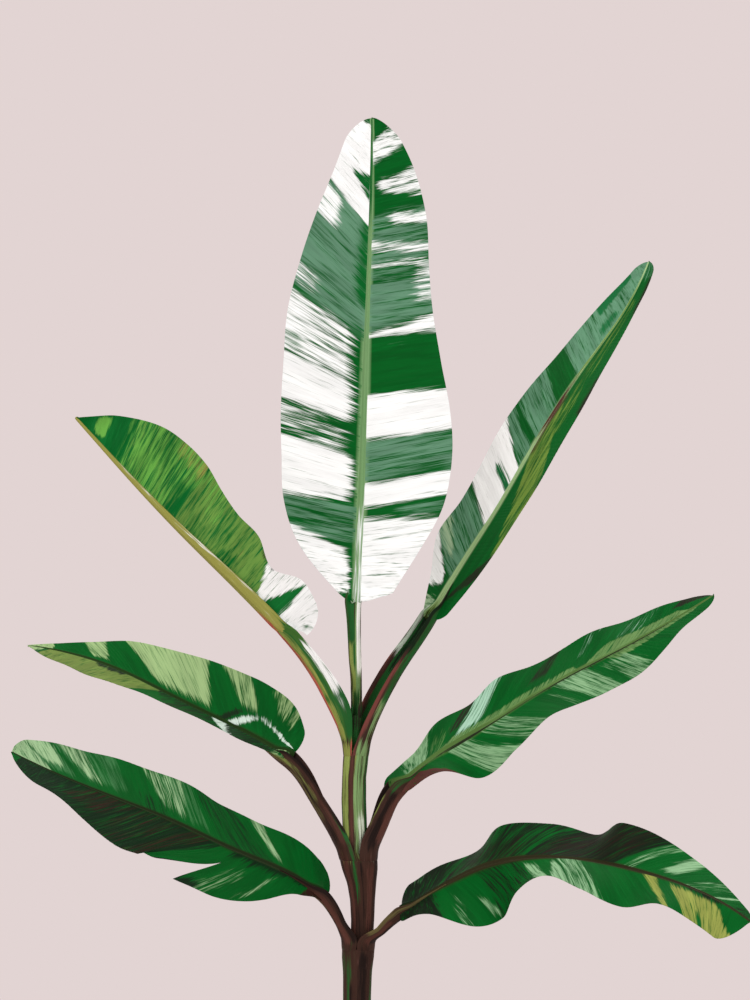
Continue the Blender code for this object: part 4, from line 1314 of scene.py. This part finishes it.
def tone_material(name, own_tones, rib_tone, roughness):
    """A plant's skin: bands of tone with streaky edges along the grain, fine veins and gloss."""
    tones = settings().tones
    nodes = Nodes(name)
    uv = nodes.make("UVMap")
    uv.uv_map = "grain"
    grain = uv.outputs[0]

    def tone_colour(tone):
        if tone in own_tones:
            return (*screen_colour(own_tones[tone]), 1.0)
        return (*getattr(tones, tone), 1.0)

    noise = {kind: nodes.streaks(grain, along, tones.streak_width * across, seed, detail)
             for kind, (along, across, seed, detail) in STREAKS.items()}
    base = tone_colour("base")
    colour = nodes.blend(nodes.range(noise["broad"], *BASE_FIELDS, True), base,
                         lighter(base, BASE_FIELDS_SHADE))
    colour = nodes.blend(nodes.range(noise["narrow"], *BASE_STREAKS, True), colour,
                         (base[0] * 1.2, base[1] * 1.25 + 0.010, base[2] * 1.25 + 0.003, 1.0))
    # The 'rib' layer lays the midrib's own tone on a blade, and a painted highlight on the
    # pseudostem's warts.
    colour = nodes.blend(nodes.layer("rib"), colour, (*screen_colour(rib_tone), 1.0))
    ragged = nodes.swing(noise["fine"], RAGGED_SWING)
    for tone, (body, shade, kind) in TONES.items():
        swing = nodes.swing(noise[kind], EDGE_SWING)
        layer = nodes.layer(tone)
        cover = nodes.math("ADD", nodes.math("MULTIPLY", layer, body),
                           nodes.math("ADD", swing, ragged))
        share = nodes.math("MULTIPLY", nodes.range(cover, *BAND_SPAN, True),
                           nodes.range(layer, *BAND_ABSENT))
        own, shaded = tone_colour(tone), lighter(tone_colour(tone), shade)
        fields = nodes.blend(nodes.range(noise["broad"], *TONE_FIELDS, True), own, shaded)
        streaked = nodes.blend(nodes.range(noise["fine"], *TONE_STREAKS, True), fields, shaded)
        colour = nodes.blend(share, colour, streaked)
    tint = nodes.make("HueSaturation", Value=nodes.range(noise["fine"], *VALUE_SPAN),
                      Color=colour)
    bump = nodes.make("Bump", Strength=BUMP_STRENGTH, Distance=BUMP_HEIGHT, Height=noise["fine"])
    rough = nodes.range(noise["fine"], *ROUGH_FROM, roughness - ROUGH_LESS,
                        roughness + ROUGH_MORE)
    return nodes.shade(Base_Color=tint.outputs[0], Roughness=rough, Normal=bump.outputs[0],
                       Specular_IOR_Level=SKIN_SPECULAR)


def lighter(colour, share):
    """A colour brought up or down."""
    return (*(min(value * share, 1.0) for value in colour[:3]), 1.0)


def stage_material(name, colour, roughness):
    """Matte paint with faint specks."""
    nodes = Nodes(name)
    place = nodes.make("TexCoord").outputs["Object"]
    specks = nodes.make("TexNoise", Scale=6.0, Vector=place).outputs["Fac"]
    base = (*colour, 1.0)
    paint = nodes.blend(nodes.range(specks, 0.3, 0.7, 0.0, 1.0), base, lighter(base, 0.97))
    return nodes.shade(Base_Color=paint, Roughness=roughness, Specular_IOR_Level=0.2)


# Operators ---------------------------------------------------------------------------------
class BANANA_OT_pseudostem(bpy.types.Operator):
    """Make the pseudostem of wrapped sheaths"""

    bl_idname = "banana.pseudostem"
    bl_label = "Pseudostem"

    def execute(self, context):
        make_pseudostem()
        return {"FINISHED"}


class BANANA_OT_stalks(bpy.types.Operator):
    """Make the grooved stalks of all leaves"""

    bl_idname = "banana.stalks"
    bl_label = "Stalks"

    def execute(self, context):
        for leaf in LEAVES:
            make_stalk(leaf, CentreLine(leaf))
        return {"FINISHED"}


class BANANA_OT_blades(bpy.types.Operator):
    """Make the veined, variegated blades of all leaves"""

    bl_idname = "banana.blades"
    bl_label = "Blades"

    def execute(self, context):
        for leaf in LEAVES:
            make_blade(leaf, CentreLine(leaf))
        return {"FINISHED"}


class BANANA_OT_stage(bpy.types.Operator):
    """Make the floor, the light and the camera"""

    bl_idname = "banana.stage"
    bl_label = "Stage"

    def execute(self, context):
        make_stage()
        return {"FINISHED"}


# The stage: where each light stands, its size and its power, and what they look at
LIGHTS = {
    "key": ((-2.4, -3.4, 3.4), 3.0, 112.0),
    "fill": ((3.0, -3.6, 1.4), 3.0, 52.0),
    "top": ((0.2, 1.2, 3.8), 2.4, 45.0),
}
LIGHTS_AIM = (0.0, 0.0, 0.75)
CAMERA_PLACE = (0.0225, -8.681, 0.825)
FLOOR_SIDES = 160
FLOOR_DEPTH = 0.02
FLOOR_MIDDLE = -0.0102       # so that the floor lies 0.2 mm under the cut


def make_stage():
    """A pale round floor, an even backdrop, soft lights and a level camera."""
    sizes = settings().stage
    deselect()
    bpy.ops.mesh.primitive_cylinder_add(vertices=FLOOR_SIDES, radius=sizes.floor_radius,
                                        depth=FLOOR_DEPTH, location=(0.0, 0.0, FLOOR_MIDDLE))
    floor = bpy.context.object
    floor.name = "floor"
    bpy.ops.object.transform_apply(location=True, rotation=True, scale=True)
    floor.data.materials.append(stage_material("floor_paint", sizes.floor, 0.9))
    scene = bpy.context.scene
    world = scene.world or bpy.data.worlds.new("backdrop")
    scene.world = world
    world.use_nodes = True
    sky = world.node_tree.nodes.get("Background") or world.node_tree.nodes.new(
        "ShaderNodeBackground")
    sky.inputs["Color"].default_value = (*sizes.backdrop, 1.0)
    sky.inputs["Strength"].default_value = 1.0
    for name, (place, size, power) in LIGHTS.items():
        add_light(name, place, size, power)
    bpy.ops.object.camera_add(location=CAMERA_PLACE, rotation=(math.radians(90), 0.0, 0.0))
    camera = bpy.context.object
    camera.data.lens = sizes.lens
    camera.data.sensor_width = 36.0
    camera.data.clip_end = 60.0
    scene.camera = camera
    scene.view_settings.view_transform = "Standard"


def add_light(name, place, size, power):
    """A soft square light that looks at the middle of the plant."""
    bpy.ops.object.light_add(type="AREA", location=place)
    light = bpy.context.object
    light.name = name + "_light"
    light.data.size = size
    light.data.energy = power
    aim = Vector(LIGHTS_AIM) - Vector(place)
    light.rotation_euler = aim.to_track_quat("-Z", "Y").to_euler()


class BANANA_PT_panel(bpy.types.Panel):
    """Lists the plant's pieces and their sizes"""

    bl_label = "Banana plant"
    bl_idname = "BANANA_PT_panel"
    bl_space_type = "VIEW_3D"
    bl_region_type = "UI"
    bl_category = "Banana plant"

    def draw(self, context):
        for part, operators in (("stem", ("banana.pseudostem", "banana.stalks")),
                                ("blades", ("banana.blades",)), ("tones", ()),
                                ("stage", ("banana.stage",))):
            box = self.layout.box()
            group = getattr(context.scene.banana_plant, part)
            for name in group.__annotations__:
                box.prop(group, name)
            for operator in operators:
                box.operator(operator)


CLASSES = (BladeSettings, ToneSettings, StemSettings, StageSettings, PlantSettings,
           BANANA_OT_pseudostem, BANANA_OT_stalks, BANANA_OT_blades, BANANA_OT_stage,
           BANANA_PT_panel)


def register():
    for made in CLASSES:
        bpy.utils.register_class(made)
    bpy.types.Scene.banana_plant = PointerProperty(type=PlantSettings)


def unregister():
    del bpy.types.Scene.banana_plant
    for made in reversed(CLASSES):
        bpy.utils.unregister_class(made)


def main():
    register()
    bpy.ops.banana.pseudostem()
    bpy.ops.banana.stalks()
    bpy.ops.banana.blades()
    bpy.ops.banana.stage()


if __name__ == "__main__":
    main()
